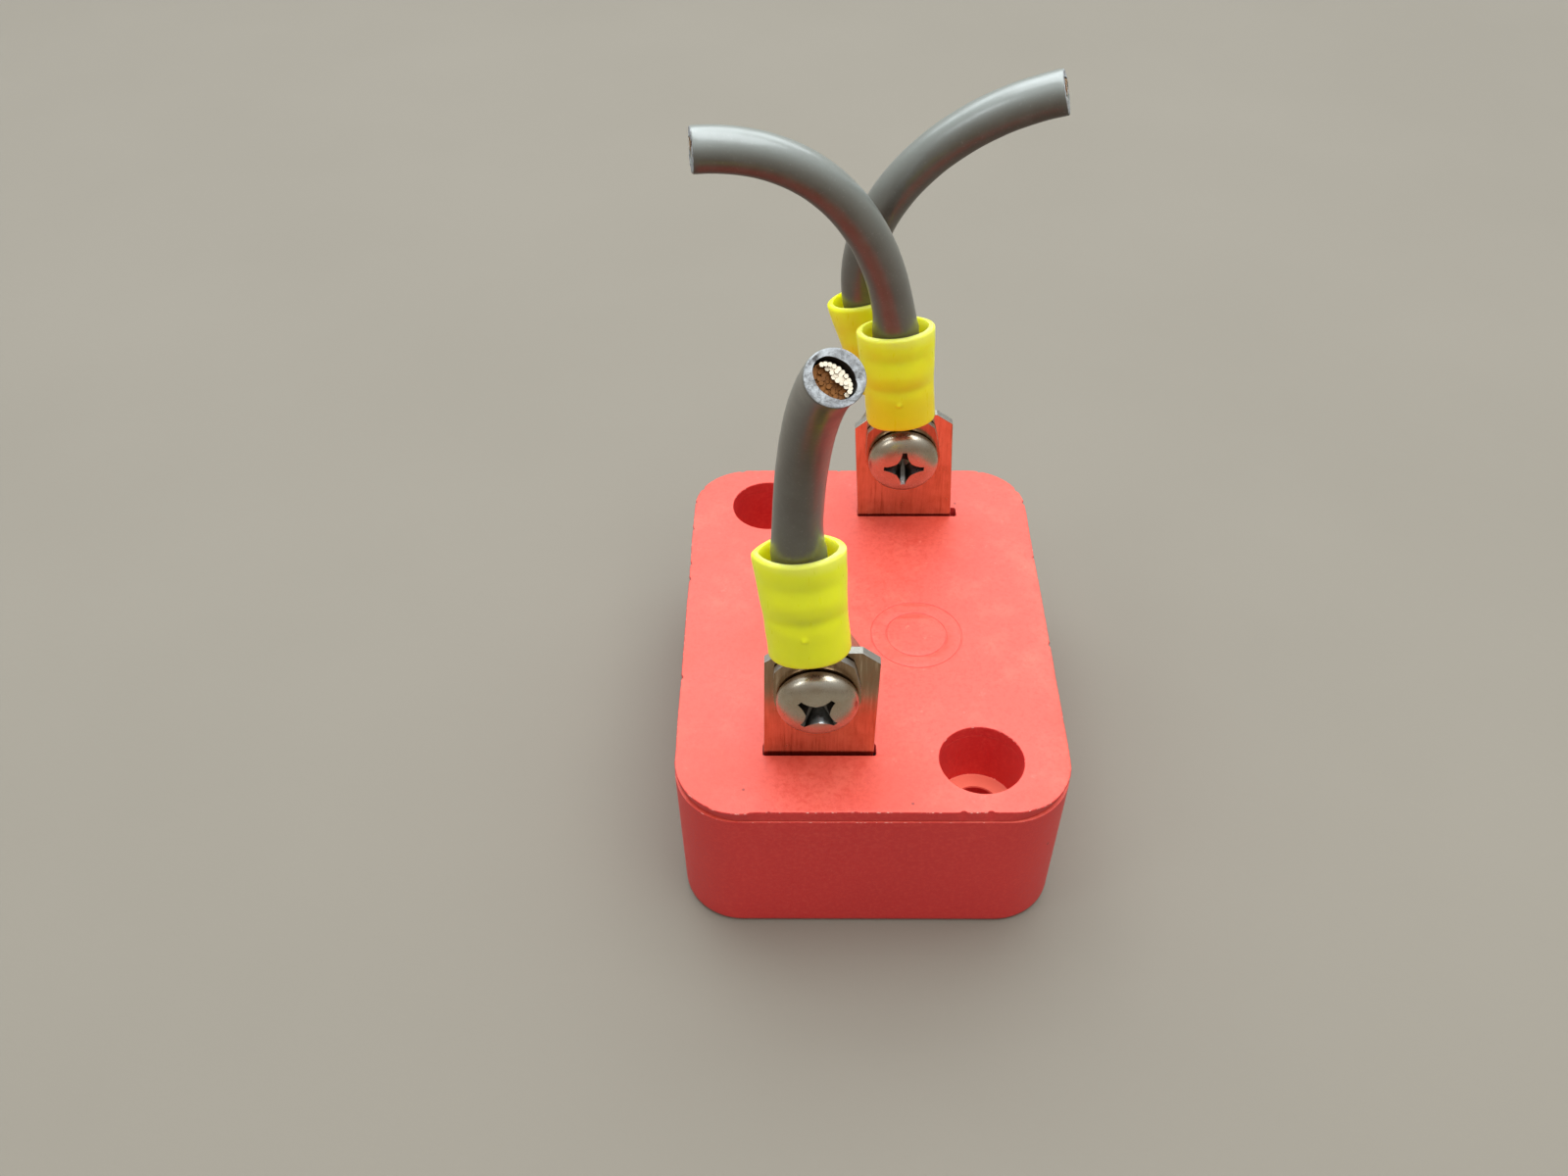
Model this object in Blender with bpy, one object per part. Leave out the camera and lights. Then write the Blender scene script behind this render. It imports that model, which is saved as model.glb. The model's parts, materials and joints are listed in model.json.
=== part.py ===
"""Two-terminal potted surge absorber block with three crimped wire ends.

A red moulded box with a bonded lid holds a ceramic disc between two electrode plates, set in
potting compound. Each plate has a flat terminal tab that stands out through the lid. A pan-head
screw, a split lock washer and a hex nut clamp one ring lug to the front tab and two to the rear
tab. Each lug is crimped to a short cut length of stranded wire under an insulating sleeve.

Frame: metres, +Z up, front towards -Y, origin at the centre of the underside mounting face.
"""

import math

import bmesh
import bpy
from mathutils import Matrix, Vector

MM = 0.001

# Box: a cup with draft, and a lid bonded on its rim.
BOX_W = 45.0 * MM
BOX_L = 59.4 * MM
BOX_H = 21.7 * MM
CORNER_R = 7.5 * MM
DRAFT = 0.3 * MM
FOOT_EDGE = 0.4 * MM
WALL = 1.6 * MM
FLOOR = 2.0 * MM
LID_T = 1.5 * MM
LID_TAPER = 0.2 * MM
SEAM = 0.2 * MM
CUP_TOP = BOX_H - LID_T - SEAM

# Mounting holes: two counterbored holes on a diagonal, 2.00 inches apart.
HOLE_X = 12.4 * MM
HOLE_Y = 22.17 * MM
HOLES = ((HOLE_X, -HOLE_Y), (-HOLE_X, HOLE_Y))
COUNTERBORE_R = 4.8 * MM
COUNTERBORE_DEPTH = 8.6 * MM
THROUGH_R = 2.85 * MM
BOSS_R = 6.2 * MM
BOSS_DROP = 0.2 * MM

# Disc stack, from the floor up: rear terminal foot, plate, disc, plate, front terminal foot.
REST = 0.12 * MM
CLEAR = 0.2 * MM
TAB_T = 1.1 * MM
ELECTRODE_R = 15.0 * MM
ELECTRODE_T = 0.4 * MM
DISC_R = 17.5 * MM
DISC_T = 6.5 * MM
COLLAR_T = 0.7 * MM
REAR_FOOT_Z = FLOOR + REST
LOWER_PLATE_Z = REAR_FOOT_Z + TAB_T + REST
DISC_Z = LOWER_PLATE_Z + ELECTRODE_T + REST
UPPER_PLATE_Z = DISC_Z + DISC_T + REST
FRONT_FOOT_Z = UPPER_PLATE_Z + ELECTRODE_T + REST
COLLAR_R = DISC_R + CLEAR + COLLAR_T
POCKET_TOP = FRONT_FOOT_Z - REST / 2

# Terminal tabs: heights are above the lid. A lean is to the left as seen from the front.
TAB_W = 12.5 * MM
TAB_RISE = 16.6 * MM
TAB_CHAMFER_W = 2.0 * MM
TAB_CHAMFER_H = 1.6 * MM
TAB_HOLE_R = 2.6 * MM
TAB_FOOT_END = 8.0 * MM
SLOT_W = 13.1 * MM
SLOT_L = 1.7 * MM
FRONT_TAB_X = -6.1 * MM
FRONT_TAB_Y = -20.72 * MM
FRONT_TAB_LEAN = math.radians(-1.0)
REAR_TAB_X = 5.95 * MM
REAR_TAB_Y = 20.7 * MM
REAR_TAB_LEAN = math.radians(3.0)

# Screws, number 10-32 by 3/8 inch, with their lock washers and 3/8 inch nuts.
SCREW_R = 2.41 * MM
SCREW_L = 9.53 * MM
SCREW_TIP = 0.5 * MM
HEAD_R = 4.5 * MM
HEAD_FLAT_R = 1.5 * MM
HEAD_H = 3.2 * MM
HEAD_SIDE_H = 1.0 * MM
RECESS_W = 5.0 * MM
RECESS_ARM = 1.1 * MM
RECESS_DEPTH = 2.0 * MM
WASHER_T = 1.2 * MM
WASHER_R = 4.25 * MM
WASHER_BORE_R = 2.6 * MM
WASHER_SPLIT = math.radians(12)
NUT_FLATS = 9.525 * MM
NUT_T = 3.18 * MM
NUT_BORE_R = 2.5 * MM
FRONT_SCREW_X = -6.34 * MM
REAR_SCREW_X = 5.16 * MM
SCREW_RISE = 10.7 * MM

# Ring lugs. Along the lug is +Y from the ring's centre; off the tab is +Z.
RING_R = 4.75 * MM
RING_HOLE_R = 2.6 * MM
TONGUE_T = 1.0 * MM
SHOULDER = (4.4 * MM, 4.3 * MM)
NECK = (2.8 * MM, 6.3 * MM)
# The neck's sections past the shoulder: distance along, half width, and its two faces' heights.
NECK_STEPS = ((6.9 * MM, 2.2 * MM, 0.6 * MM, 1.45 * MM), (7.7 * MM, 1.2 * MM, 1.15 * MM, 1.6 * MM))
BARREL_START = 7.0 * MM
BARREL_END = 16.2 * MM
BARREL_OUT = (2.8 * MM, 2.25 * MM)
BARREL_BORE = (1.9 * MM, 1.6 * MM)
BARREL_RISE = 3.3 * MM

# Insulating sleeves: half widths across and off the tab, at the foot and at the mouth.
SLEEVE_L = 13.2 * MM
SLEEVE_FOOT = (4.25 * MM, 3.1 * MM)
SLEEVE_MOUTH = (4.65 * MM, 3.12 * MM)
SLEEVE_FOOT_BORE = (3.0 * MM, 2.42 * MM)
SLEEVE_MOUTH_BORE = (3.95 * MM, 2.55 * MM)

# Wires, 10 gauge.
JACKET_R = 2.4 * MM
JACKET_BORE_R = 1.56 * MM
CONDUCTOR_R = 1.45 * MM
JACKET_START = 16.6 * MM
CONDUCTOR_START = 8.8 * MM

SMOOTH_BELOW = math.radians(35)

# Colours are linear RGB.
RED = (0.56, 0.035, 0.03)
GREY_POTTING = (0.045, 0.045, 0.05)
CERAMIC = (0.06, 0.055, 0.05)
COLLAR = (0.62, 0.6, 0.52)
TIN = (0.78, 0.77, 0.74)
STEEL = (0.62, 0.61, 0.58)
NYLON = (0.86, 0.68, 0.05)
PVC = (0.21, 0.2, 0.18)
COPPER = (0.72, 0.36, 0.2)


def clear_scene():
    for obj in list(bpy.data.objects):
        bpy.data.objects.remove(obj, do_unlink=True)


def material(name, colour, roughness, metallic=0.0):
    made = bpy.data.materials.get(name)
    if made:
        return made
    made = bpy.data.materials.new(name)
    made.use_nodes = True
    shader = made.node_tree.nodes["Principled BSDF"]
    shader.inputs["Base Color"].default_value = (*colour, 1.0)
    shader.inputs["Roughness"].default_value = roughness
    shader.inputs["Metallic"].default_value = metallic
    made.diffuse_color = (*colour, 1.0)
    return made


def add_object(name, bm, mat, frame=None):
    """Makes an object from a closed bmesh, at rest in the given frame."""
    bmesh.ops.recalc_face_normals(bm, faces=bm.faces)
    mesh = bpy.data.meshes.new(name)
    bm.to_mesh(mesh)
    bm.free()
    mesh.shade_smooth()
    mesh.set_sharp_from_angle(angle=SMOOTH_BELOW)
    obj = bpy.data.objects.new(name, mesh)
    obj.matrix_world = frame if frame else Matrix.Identity(4)
    if mat:
        mesh.materials.append(mat)
    bpy.context.scene.collection.objects.link(obj)
    return obj


def helper(name, bm, frame=None):
    """A cutter, or a piece to be joined: it shapes another object and isn't part of the model."""
    obj = add_object(name, bm, None, frame)
    obj.hide_render = True
    obj.display_type = "WIRE"
    return obj


def combine(target, other, operation="DIFFERENCE"):
    step = target.modifiers.new(other.name, "BOOLEAN")
    step.operation = operation
    step.object = other
    step.solver = "EXACT"


def skin(rings, loop=False):
    """A bmesh through rings of equally many points: capped at both ends, or joined in a loop."""
    bm = bmesh.new()
    rows = [[bm.verts.new(point) for point in ring] for ring in rings]
    pairs = list(zip(rows, rows[1:]))
    if loop:
        pairs.append((rows[-1], rows[0]))
    for low, high in pairs:
        for i in range(len(low)):
            j = (i + 1) % len(low)
            bm.faces.new((low[i], low[j], high[j], high[i]))
    if not loop:
        bm.faces.new(reversed(rows[0]))
        bm.faces.new(rows[-1])
    return bm


def ellipse(half_x, half_y, z, sides=32):
    points = []
    for i in range(sides):
        angle = math.tau * i / sides
        points.append(Vector((half_x * math.cos(angle), half_y * math.sin(angle), z)))
    return points


def circle(radius, z, sides=32):
    return ellipse(radius, radius, z, sides)


def cylinder(radius, low, high, sides=32):
    return skin([circle(radius, low, sides), circle(radius, high, sides)])


def box(low, high):
    """A box between two corners."""
    corners = ((low[0], low[1]), (high[0], low[1]), (high[0], high[1]), (low[0], high[1]))
    return skin([[Vector((x, y, z)) for x, y in corners] for z in (low[2], high[2])])


def rounded_rectangle(inset, z, steps=6):
    """The box's outline, moved in by an inset, at a height."""
    half_x = BOX_W / 2 - CORNER_R
    half_y = BOX_L / 2 - CORNER_R
    radius = CORNER_R - inset
    points = []
    for quarter, (sx, sy) in enumerate(((1, 1), (-1, 1), (-1, -1), (1, -1))):
        for i in range(steps + 1):
            angle = math.radians(90) * (quarter + i / steps)
            x = sx * half_x + radius * math.cos(angle)
            y = sy * half_y + radius * math.sin(angle)
            points.append(Vector((x, y, z)))
    return points


def make_cup():
    outer = [
        rounded_rectangle(DRAFT + FOOT_EDGE, 0.0),
        rounded_rectangle(DRAFT, FOOT_EDGE),
        rounded_rectangle(0.0, CUP_TOP),
    ]
    inner = [rounded_rectangle(WALL, CUP_TOP), rounded_rectangle(DRAFT + WALL, FLOOR)]
    red = material("red_plastic", RED, 0.45)
    cup = add_object("base_cup", skin(outer + inner), red)
    seat = BOX_H - COUNTERBORE_DEPTH
    for index, (x, y) in enumerate(HOLES):
        place = Matrix.Translation((x, y, 0))
        boss = helper(f"boss_{index}", cylinder(BOSS_R, FLOOR / 2, CUP_TOP - BOSS_DROP), place)
        bore = helper(f"counterbore_{index}", cylinder(COUNTERBORE_R, seat, BOX_H), place)
        hole = helper(f"through_hole_{index}", cylinder(THROUGH_R, -FLOOR, BOX_H, 24), place)
        combine(cup, boss, "UNION")
        combine(cup, bore)
        combine(cup, hole)


def make_lid():
    bottom = BOX_H - LID_T
    plate = skin([rounded_rectangle(LID_TAPER, bottom), rounded_rectangle(0.0, BOX_H)])
    lid = add_object("lid", plate, material("red_plastic", RED, 0.45))
    for index, (x, y) in enumerate(HOLES):
        bore = cylinder(COUNTERBORE_R, bottom - LID_T, BOX_H + LID_T)
        combine(lid, helper(f"lid_hole_{index}", bore, Matrix.Translation((x, y, 0))))
    for x, y in ((FRONT_TAB_X, FRONT_TAB_Y), (REAR_TAB_X, REAR_TAB_Y)):
        low = (x - SLOT_W / 2, y - SLOT_L / 2, bottom - LID_T)
        high = (x + SLOT_W / 2, y + SLOT_L / 2, BOX_H + LID_T)
        combine(lid, helper("lid_slot", box(low, high)))


def make_potting():
    """Fills the cup round the disc stack, the bosses and the terminals, a clearance off each."""
    bottom = FLOOR + REST
    top = CUP_TOP
    block = skin(
        [
            rounded_rectangle(DRAFT + WALL + CLEAR, bottom),
            rounded_rectangle(WALL + CLEAR, top),
        ]
    )
    potting = add_object("potting_compound", block, material("potting", GREY_POTTING, 0.6))
    pocket = cylinder(COLLAR_R + CLEAR, -FLOOR, POCKET_TOP, 48)
    combine(potting, helper("disc_pocket", pocket))
    for x, y in HOLES:
        place = Matrix.Translation((x, y, 0))
        boss = cylinder(BOSS_R + CLEAR, -FLOOR, BOX_H)
        combine(potting, helper("boss_clearance", boss, place))
    tabs = (
        (FRONT_TAB_X, FRONT_TAB_Y, FRONT_FOOT_Z, -1),
        (REAR_TAB_X, REAR_TAB_Y, REAR_FOOT_Z, 1),
    )
    half = TAB_W / 2 + CLEAR
    for x, y, foot, side in tabs:
        near = side * TAB_FOOT_END - side * CLEAR
        far = y + side * (TAB_T / 2 + CLEAR)
        wall = y - side * (TAB_T / 2 + CLEAR)
        reach = sorted((near, far))
        channel = sorted((wall, far))
        under = -FLOOR if side > 0 else foot - 2 * CLEAR
        foot_space = box((x - half, reach[0], under), (x + half, reach[1], foot + TAB_T + CLEAR))
        rise_space = box((x - half, channel[0], foot), (x + half, channel[1], BOX_H))
        combine(potting, helper("foot_space", foot_space))
        combine(potting, helper("rise_space", rise_space))


def make_disc_stack():
    ceramic = material("ceramic", CERAMIC, 0.5)
    collar = material("collar", COLLAR, 0.5)
    tin = material("tin_plate", TIN, 0.3, 1.0)
    add_object("varistor_disc", cylinder(DISC_R, DISC_Z, DISC_Z + DISC_T, 48), ceramic)
    inner = COLLAR_R - COLLAR_T
    rings = [
        circle(COLLAR_R, DISC_Z, 48),
        circle(COLLAR_R, DISC_Z + DISC_T, 48),
        circle(inner, DISC_Z + DISC_T, 48),
        circle(inner, DISC_Z, 48),
    ]
    add_object("disc_collar", skin(rings, loop=True), collar)
    for name, z in (("lower_electrode", LOWER_PLATE_Z), ("upper_electrode", UPPER_PLATE_Z)):
        add_object(name, cylinder(ELECTRODE_R, z, z + ELECTRODE_T, 40), tin)


def make_terminal(name, centre, side, foot_z, lean):
    """A flat foot under or over an electrode, bent up into a tab that leans above the lid."""
    centre_x, centre_y = centre
    bend_z = BOX_H - LID_T / 2
    top_z = BOX_H + TAB_RISE
    outer_y = centre_y + side * TAB_T / 2
    inner_y = centre_y - side * TAB_T / 2
    foot_end = side * TAB_FOOT_END
    half = TAB_W / 2
    stations = (
        ((foot_end, foot_z), (foot_end, foot_z + TAB_T), half),
        ((outer_y, foot_z), (inner_y, foot_z + TAB_T), half),
        ((outer_y, bend_z), (inner_y, bend_z), half),
        ((outer_y, top_z - TAB_CHAMFER_H), (inner_y, top_z - TAB_CHAMFER_H), half),
        ((outer_y, top_z), (inner_y, top_z), half - TAB_CHAMFER_W),
    )
    pivot = Vector((centre_x, 0, bend_z))
    swing = Matrix.Rotation(-lean, 3, "Y")
    rings = []
    for (y_out, z_out), (y_in, z_in), half_width in stations:
        ring = [
            Vector((centre_x - half_width, y_out, z_out)),
            Vector((centre_x + half_width, y_out, z_out)),
            Vector((centre_x + half_width, y_in, z_in)),
            Vector((centre_x - half_width, y_in, z_in)),
        ]
        if z_out > bend_z:
            ring = [swing @ (point - pivot) + pivot for point in ring]
        rings.append(ring)
    tab = add_object(name, skin(rings), material("tin_plate", TIN, 0.3, 1.0))
    screw_x = FRONT_SCREW_X if side < 0 else REAR_SCREW_X
    hole = cylinder(TAB_HOLE_R, -3 * TAB_T, 3 * TAB_T, 24)
    combine(tab, helper(f"{name}_hole", hole, fastener_frame(screw_x, centre_y)))


def fastener_frame(x, y):
    """A frame on a screw's axis, whose +Z points out of the front, towards the screw head."""
    place = Matrix.Translation((x, y, BOX_H + SCREW_RISE))
    return place @ Matrix.Rotation(math.radians(90), 4, "X")


def make_screw(name, x, seat_y, turn):
    """A shank with a chamfered tip, under a head with a straight side and a domed top."""
    frame = fastener_frame(x, seat_y)
    profile = [
        (SCREW_R - SCREW_TIP, -SCREW_L),
        (SCREW_R, SCREW_TIP - SCREW_L),
        (SCREW_R, 0.0),
        (HEAD_R, 0.0),
    ]
    dome_steps = 4
    for i in range(dome_steps + 1):
        angle = math.radians(90) * i / dome_steps
        radius = HEAD_FLAT_R + (HEAD_R - HEAD_FLAT_R) * math.cos(angle)
        profile.append((radius, HEAD_SIDE_H + (HEAD_H - HEAD_SIDE_H) * math.sin(angle)))
    rings = [circle(radius, z, 24) for radius, z in profile]
    screw = add_object(name, skin(rings), material("zinc_steel", STEEL, 0.3, 1.0), frame)
    for arm in (0, 1):
        low = (-RECESS_W / 2, -RECESS_ARM / 2, HEAD_H - RECESS_DEPTH)
        high = (RECESS_W / 2, RECESS_ARM / 2, HEAD_H + RECESS_DEPTH)
        spin = Matrix.Rotation(turn + arm * math.radians(90), 4, "Z")
        combine(screw, helper(f"{name}_recess_{arm}", box(low, high), frame @ spin))


def make_lock_washer(name, x, seat_y):
    """A ring of square section with a gap, seated on its +Z side."""
    sides = 28
    rings = []
    for i in range(sides + 1):
        angle = WASHER_SPLIT / 2 + (math.tau - WASHER_SPLIT) * i / sides
        out = Vector((math.cos(angle), math.sin(angle), 0))
        down = Vector((0, 0, -WASHER_T))
        near, far = out * WASHER_BORE_R, out * WASHER_R
        rings.append([near, far, far + down, near + down])
    steel = material("zinc_steel", STEEL, 0.3, 1.0)
    add_object(name, skin(rings), steel, fastener_frame(x, seat_y))


def make_nut(name, x, seat_y):
    """A hexagon with a flat uppermost, seated on its +Z side."""
    corner_r = NUT_FLATS / math.sqrt(3)
    hexagon = skin([circle(corner_r, -NUT_T, 6), circle(corner_r, 0.0, 6)])
    steel = material("zinc_steel", STEEL, 0.3, 1.0)
    nut = add_object(name, hexagon, steel, fastener_frame(x, seat_y))
    bore = cylinder(NUT_BORE_R, -2 * NUT_T, NUT_T, 24)
    combine(nut, helper(f"{name}_bore", bore, fastener_frame(x, seat_y)))


def lug_frame(ring_centre, lean_left, faces_front):
    """A frame whose +Y runs up the lug, and whose +Z points off the tab that the ring lies on."""
    along = Vector((-math.sin(lean_left), 0, math.cos(lean_left)))
    off = Vector((0, -1, 0)) if faces_front else Vector((0, 1, 0))
    across = along.cross(off)
    axes = Matrix((across, along, off)).transposed()
    return Matrix.Translation(ring_centre) @ axes.to_4x4()


def leaned_back(frame, lean_back):
    """The lug's frame for all that's above its neck: tilted back about the barrel's foot."""
    foot = Matrix.Translation((0, BARREL_START, BARREL_RISE))
    return frame @ foot @ Matrix.Rotation(-lean_back, 4, "X") @ foot.inverted()


def make_lug(name, frame, upper):
    outline = []
    arc_steps = 14
    for i in range(arc_steps + 1):
        angle = math.pi * (1 + i / arc_steps)
        outline.append((RING_R * math.cos(angle), RING_R * math.sin(angle)))
    outline += [SHOULDER, NECK, (-NECK[0], NECK[1]), (-SHOULDER[0], SHOULDER[1])]
    bm = skin([[Vector((x, y, z)) for x, y in outline] for z in (0.0, TONGUE_T)])
    end = max(bm.faces, key=lambda face: face.calc_center_median().y)
    for along, half_width, low, high in NECK_STEPS:
        end = bmesh.ops.extrude_discrete_faces(bm, faces=[end])["faces"][0]
        middle = end.calc_center_median().z
        for vertex in end.verts:
            z = high if vertex.co.z > middle else low
            vertex.co = (math.copysign(half_width, vertex.co.x), along, z)
    lug = add_object(name, bm, material("tin_plate", TIN, 0.3, 1.0), frame)
    stand_up = Matrix.Translation((0, 0, BARREL_RISE)) @ Matrix.Rotation(math.radians(-90), 4, "X")
    barrel = skin([ellipse(*BARREL_OUT, z, 24) for z in (BARREL_START, BARREL_END)])
    beyond = 1.0 * MM
    bore_ends = (BARREL_START - beyond, BARREL_END + beyond)
    bore = skin([ellipse(*BARREL_BORE, z, 24) for z in bore_ends])
    combine(lug, helper(f"{name}_barrel", barrel, upper @ stand_up), "UNION")
    combine(lug, helper(f"{name}_bore", bore, upper @ stand_up))
    ring_hole = cylinder(RING_HOLE_R, -TONGUE_T, 2 * TONGUE_T, 24)
    combine(lug, helper(f"{name}_ring_hole", ring_hole, frame))


def make_sleeve(name, frame, start):
    """An oval tube, wider across at its mouth, bored in two steps: for the barrel and the wire."""
    stand_up = Matrix.Translation((0, 0, BARREL_RISE)) @ Matrix.Rotation(math.radians(-90), 4, "X")
    step = JACKET_START - 0.2 * MM
    end = start + SLEEVE_L
    sides = 28
    rings = [
        ellipse(*SLEEVE_FOOT, start, sides),
        ellipse(*SLEEVE_FOOT, (start + end) / 2, sides),
        ellipse(*SLEEVE_MOUTH, end, sides),
        ellipse(*SLEEVE_MOUTH_BORE, end, sides),
        ellipse(SLEEVE_FOOT_BORE[0], SLEEVE_MOUTH_BORE[1], step, sides),
        ellipse(*SLEEVE_FOOT_BORE, start, sides),
    ]
    nylon = material("yellow_nylon", NYLON, 0.4)
    add_object(name, skin(rings, loop=True), nylon, frame @ stand_up)


def bezier(points, t):
    """A point on the cubic curve through the first and last of four points."""
    a, b, c, d = points
    s = 1 - t
    return a * s**3 + b * 3 * s * s * t + c * 3 * s * t * t + d * t**3


def wire_path(frame, start, mouth, lead, bend, end):
    """Points along a wire, in the lug's frame: straight inside the lug, then a curve to its end.

    lead is how far the curve's first handle runs on from the sleeve's mouth. bend and end are the
    curve's other two points, in the part's frame.
    """
    to_local = frame.inverted()
    exit_point = Vector((0, mouth, BARREL_RISE))
    handle = Vector((0, mouth + lead, BARREL_RISE))
    curve = (exit_point, handle, to_local @ Vector(bend), to_local @ Vector(end))
    steps = 14
    path = [Vector((0, start, BARREL_RISE))]
    path += [bezier(curve, i / steps) for i in range(steps + 1)]
    return path


def rings_along(path, radius, sides=14):
    """Circles square to a path, each turned as little as possible from the last."""
    rings = []
    side = Vector((1, 0, 0))
    for i, point in enumerate(path):
        ahead = path[min(i + 1, len(path) - 1)]
        behind = path[max(i - 1, 0)]
        along = (ahead - behind).normalized()
        side = (side - along * side.dot(along)).normalized()
        other = along.cross(side)
        ring = []
        for k in range(sides):
            angle = math.tau * k / sides
            ring.append(point + (side * math.cos(angle) + other * math.sin(angle)) * radius)
        rings.append(ring)
    return rings


def make_wire(name, frame, mouth, lead, bend, end):
    path = wire_path(frame, JACKET_START, mouth, lead, bend, end)
    outer = rings_along(path, JACKET_R)
    inner = rings_along(path, JACKET_BORE_R)
    tube = skin(outer + inner[::-1], loop=True)
    add_object(f"{name}_jacket", tube, material("grey_pvc", PVC, 0.4), frame)
    path = wire_path(frame, CONDUCTOR_START, mouth, lead, bend, end)
    path.insert(1, Vector((0, JACKET_START, BARREL_RISE)))
    core = skin(rings_along(path, CONDUCTOR_R))
    add_object(f"{name}_conductor", core, material("copper", COPPER, 0.35, 1.0), frame)


def make_wired_lug(name, ring_centre, leans, faces_front, sleeve_start, wire):
    """A lug with its sleeve and its wire. leans are in degrees: to the left, and back."""
    lean_left, lean_back = (math.radians(angle) for angle in leans)
    frame = lug_frame(ring_centre, lean_left, faces_front)
    upper = leaned_back(frame, lean_back)
    make_lug(f"{name}_lug", frame, upper)
    make_sleeve(f"{name}_sleeve", upper, sleeve_start)
    make_wire(name, upper, sleeve_start + SLEEVE_L, *wire)


def above_lid(x, y, z):
    """A point given in millimetres, with its height above the lid."""
    return (x * MM, y * MM, BOX_H + z * MM)


def make_front_terminal_group():
    front = FRONT_TAB_Y - TAB_T / 2
    back = FRONT_TAB_Y + TAB_T / 2
    x = FRONT_SCREW_X
    make_terminal("front_terminal", (FRONT_TAB_X, FRONT_TAB_Y), -1, FRONT_FOOT_Z, FRONT_TAB_LEAN)
    ring = Vector((x, front - REST, BOX_H + SCREW_RISE))
    wire = (3.2 * MM, above_lid(-8.2, -24.0, 51.3), above_lid(-5.6, -33.8, 60.8))
    make_wired_lug("front", ring, (5.2, 4.0), True, 9.8 * MM, wire)
    make_screw("front_screw", x, front - TONGUE_T - 2 * REST, math.radians(45))
    make_lock_washer("front_lock_washer", x, back + REST)
    make_nut("front_nut", x, back + WASHER_T + 2 * REST)


def make_rear_terminal_group():
    front = REAR_TAB_Y - TAB_T / 2
    back = REAR_TAB_Y + TAB_T / 2
    x = REAR_SCREW_X
    make_terminal("rear_terminal", (REAR_TAB_X, REAR_TAB_Y), 1, REAR_FOOT_Z, REAR_TAB_LEAN)
    ring = Vector((x, front - REST, BOX_H + SCREW_RISE))
    wire = (7.8 * MM, above_lid(-2.5, 13.4, 57.4), above_lid(-19.4, 10.8, 57.4))
    make_wired_lug("rear_left", ring, (5.7, 0.0), True, 8.3 * MM, wire)
    ring = Vector((x, back + REST, BOX_H + SCREW_RISE))
    wire = (9.5 * MM, above_lid(5.5, 23.0, 54.7), above_lid(20.2, 20.9, 58.8))
    make_wired_lug("rear_right", ring, (14.9, 0.0), False, 8.3 * MM, wire)
    make_screw("rear_screw", x, front - TONGUE_T - 2 * REST, 0.0)
    make_lock_washer("rear_lock_washer", x, back + TONGUE_T + 2 * REST)
    make_nut("rear_nut", x, back + TONGUE_T + WASHER_T + 3 * REST)


clear_scene()
make_cup()
make_lid()
make_potting()
make_disc_stack()
make_front_terminal_group()
make_rear_terminal_group()
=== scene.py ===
"""Looks for the two-terminal surge absorber block with three crimped wire ends.

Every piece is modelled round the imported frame: its place comes from the CAD boxes and joint
centres, and it rides on the CAD body that it belongs to. Sizes are in metres, written in
millimetres times MM. The front of the part faces -Y.
"""

import json
import math
import random
from collections import namedtuple

import bmesh
import bpy
from mathutils import Matrix, Vector, noise
from mathutils.geometry import interpolate_bezier, tessellate_polygon


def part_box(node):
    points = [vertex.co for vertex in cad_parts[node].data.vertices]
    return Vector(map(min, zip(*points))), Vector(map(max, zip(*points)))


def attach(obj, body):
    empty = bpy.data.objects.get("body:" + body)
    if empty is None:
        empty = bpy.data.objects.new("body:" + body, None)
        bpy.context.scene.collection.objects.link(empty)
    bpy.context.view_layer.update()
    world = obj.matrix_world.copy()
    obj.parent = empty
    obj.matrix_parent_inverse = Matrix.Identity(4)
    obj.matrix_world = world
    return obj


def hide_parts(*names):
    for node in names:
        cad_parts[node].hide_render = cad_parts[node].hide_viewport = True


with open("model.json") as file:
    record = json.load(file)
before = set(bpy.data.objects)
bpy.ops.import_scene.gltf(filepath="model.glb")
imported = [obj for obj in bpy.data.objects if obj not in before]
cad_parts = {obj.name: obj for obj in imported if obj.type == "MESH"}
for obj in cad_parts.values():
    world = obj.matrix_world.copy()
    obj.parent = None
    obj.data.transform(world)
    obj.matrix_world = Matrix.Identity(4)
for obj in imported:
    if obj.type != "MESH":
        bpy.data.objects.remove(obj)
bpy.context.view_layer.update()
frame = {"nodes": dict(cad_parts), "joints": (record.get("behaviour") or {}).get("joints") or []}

MM = 0.001
# Edges are shaded sharp above this many degrees, unless a piece has its own angle.
SHARP = 32

# Box, as moulded.
CORNER_R = 7.5 * MM
DRAFT = 0.3 * MM
WALL = 1.6 * MM
FLOOR = 2.0 * MM
HOLES = ((12.4 * MM, -22.17 * MM), (-12.4 * MM, 22.17 * MM))
COUNTERBORE_R = 4.8 * MM
COUNTERBORE_DEPTH = 8.6 * MM
THROUGH_R = 2.85 * MM
BOSS_R = 5.9 * MM
SLOT_L = 1.7 * MM
SLOT_CORNER_R = 0.25 * MM
OUTLINE_STEP = 0.3 * MM
CORNER_STEPS = 36

# The plain pair of rings engraved in the lid.
MARK_CENTRE = (6.2 * MM, -2.4 * MM)
MARK_RADII = (5.6 * MM, 3.7 * MM)
MARK_GROOVE_W = 0.28 * MM
MARK_DEPTH = 0.075 * MM

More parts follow.
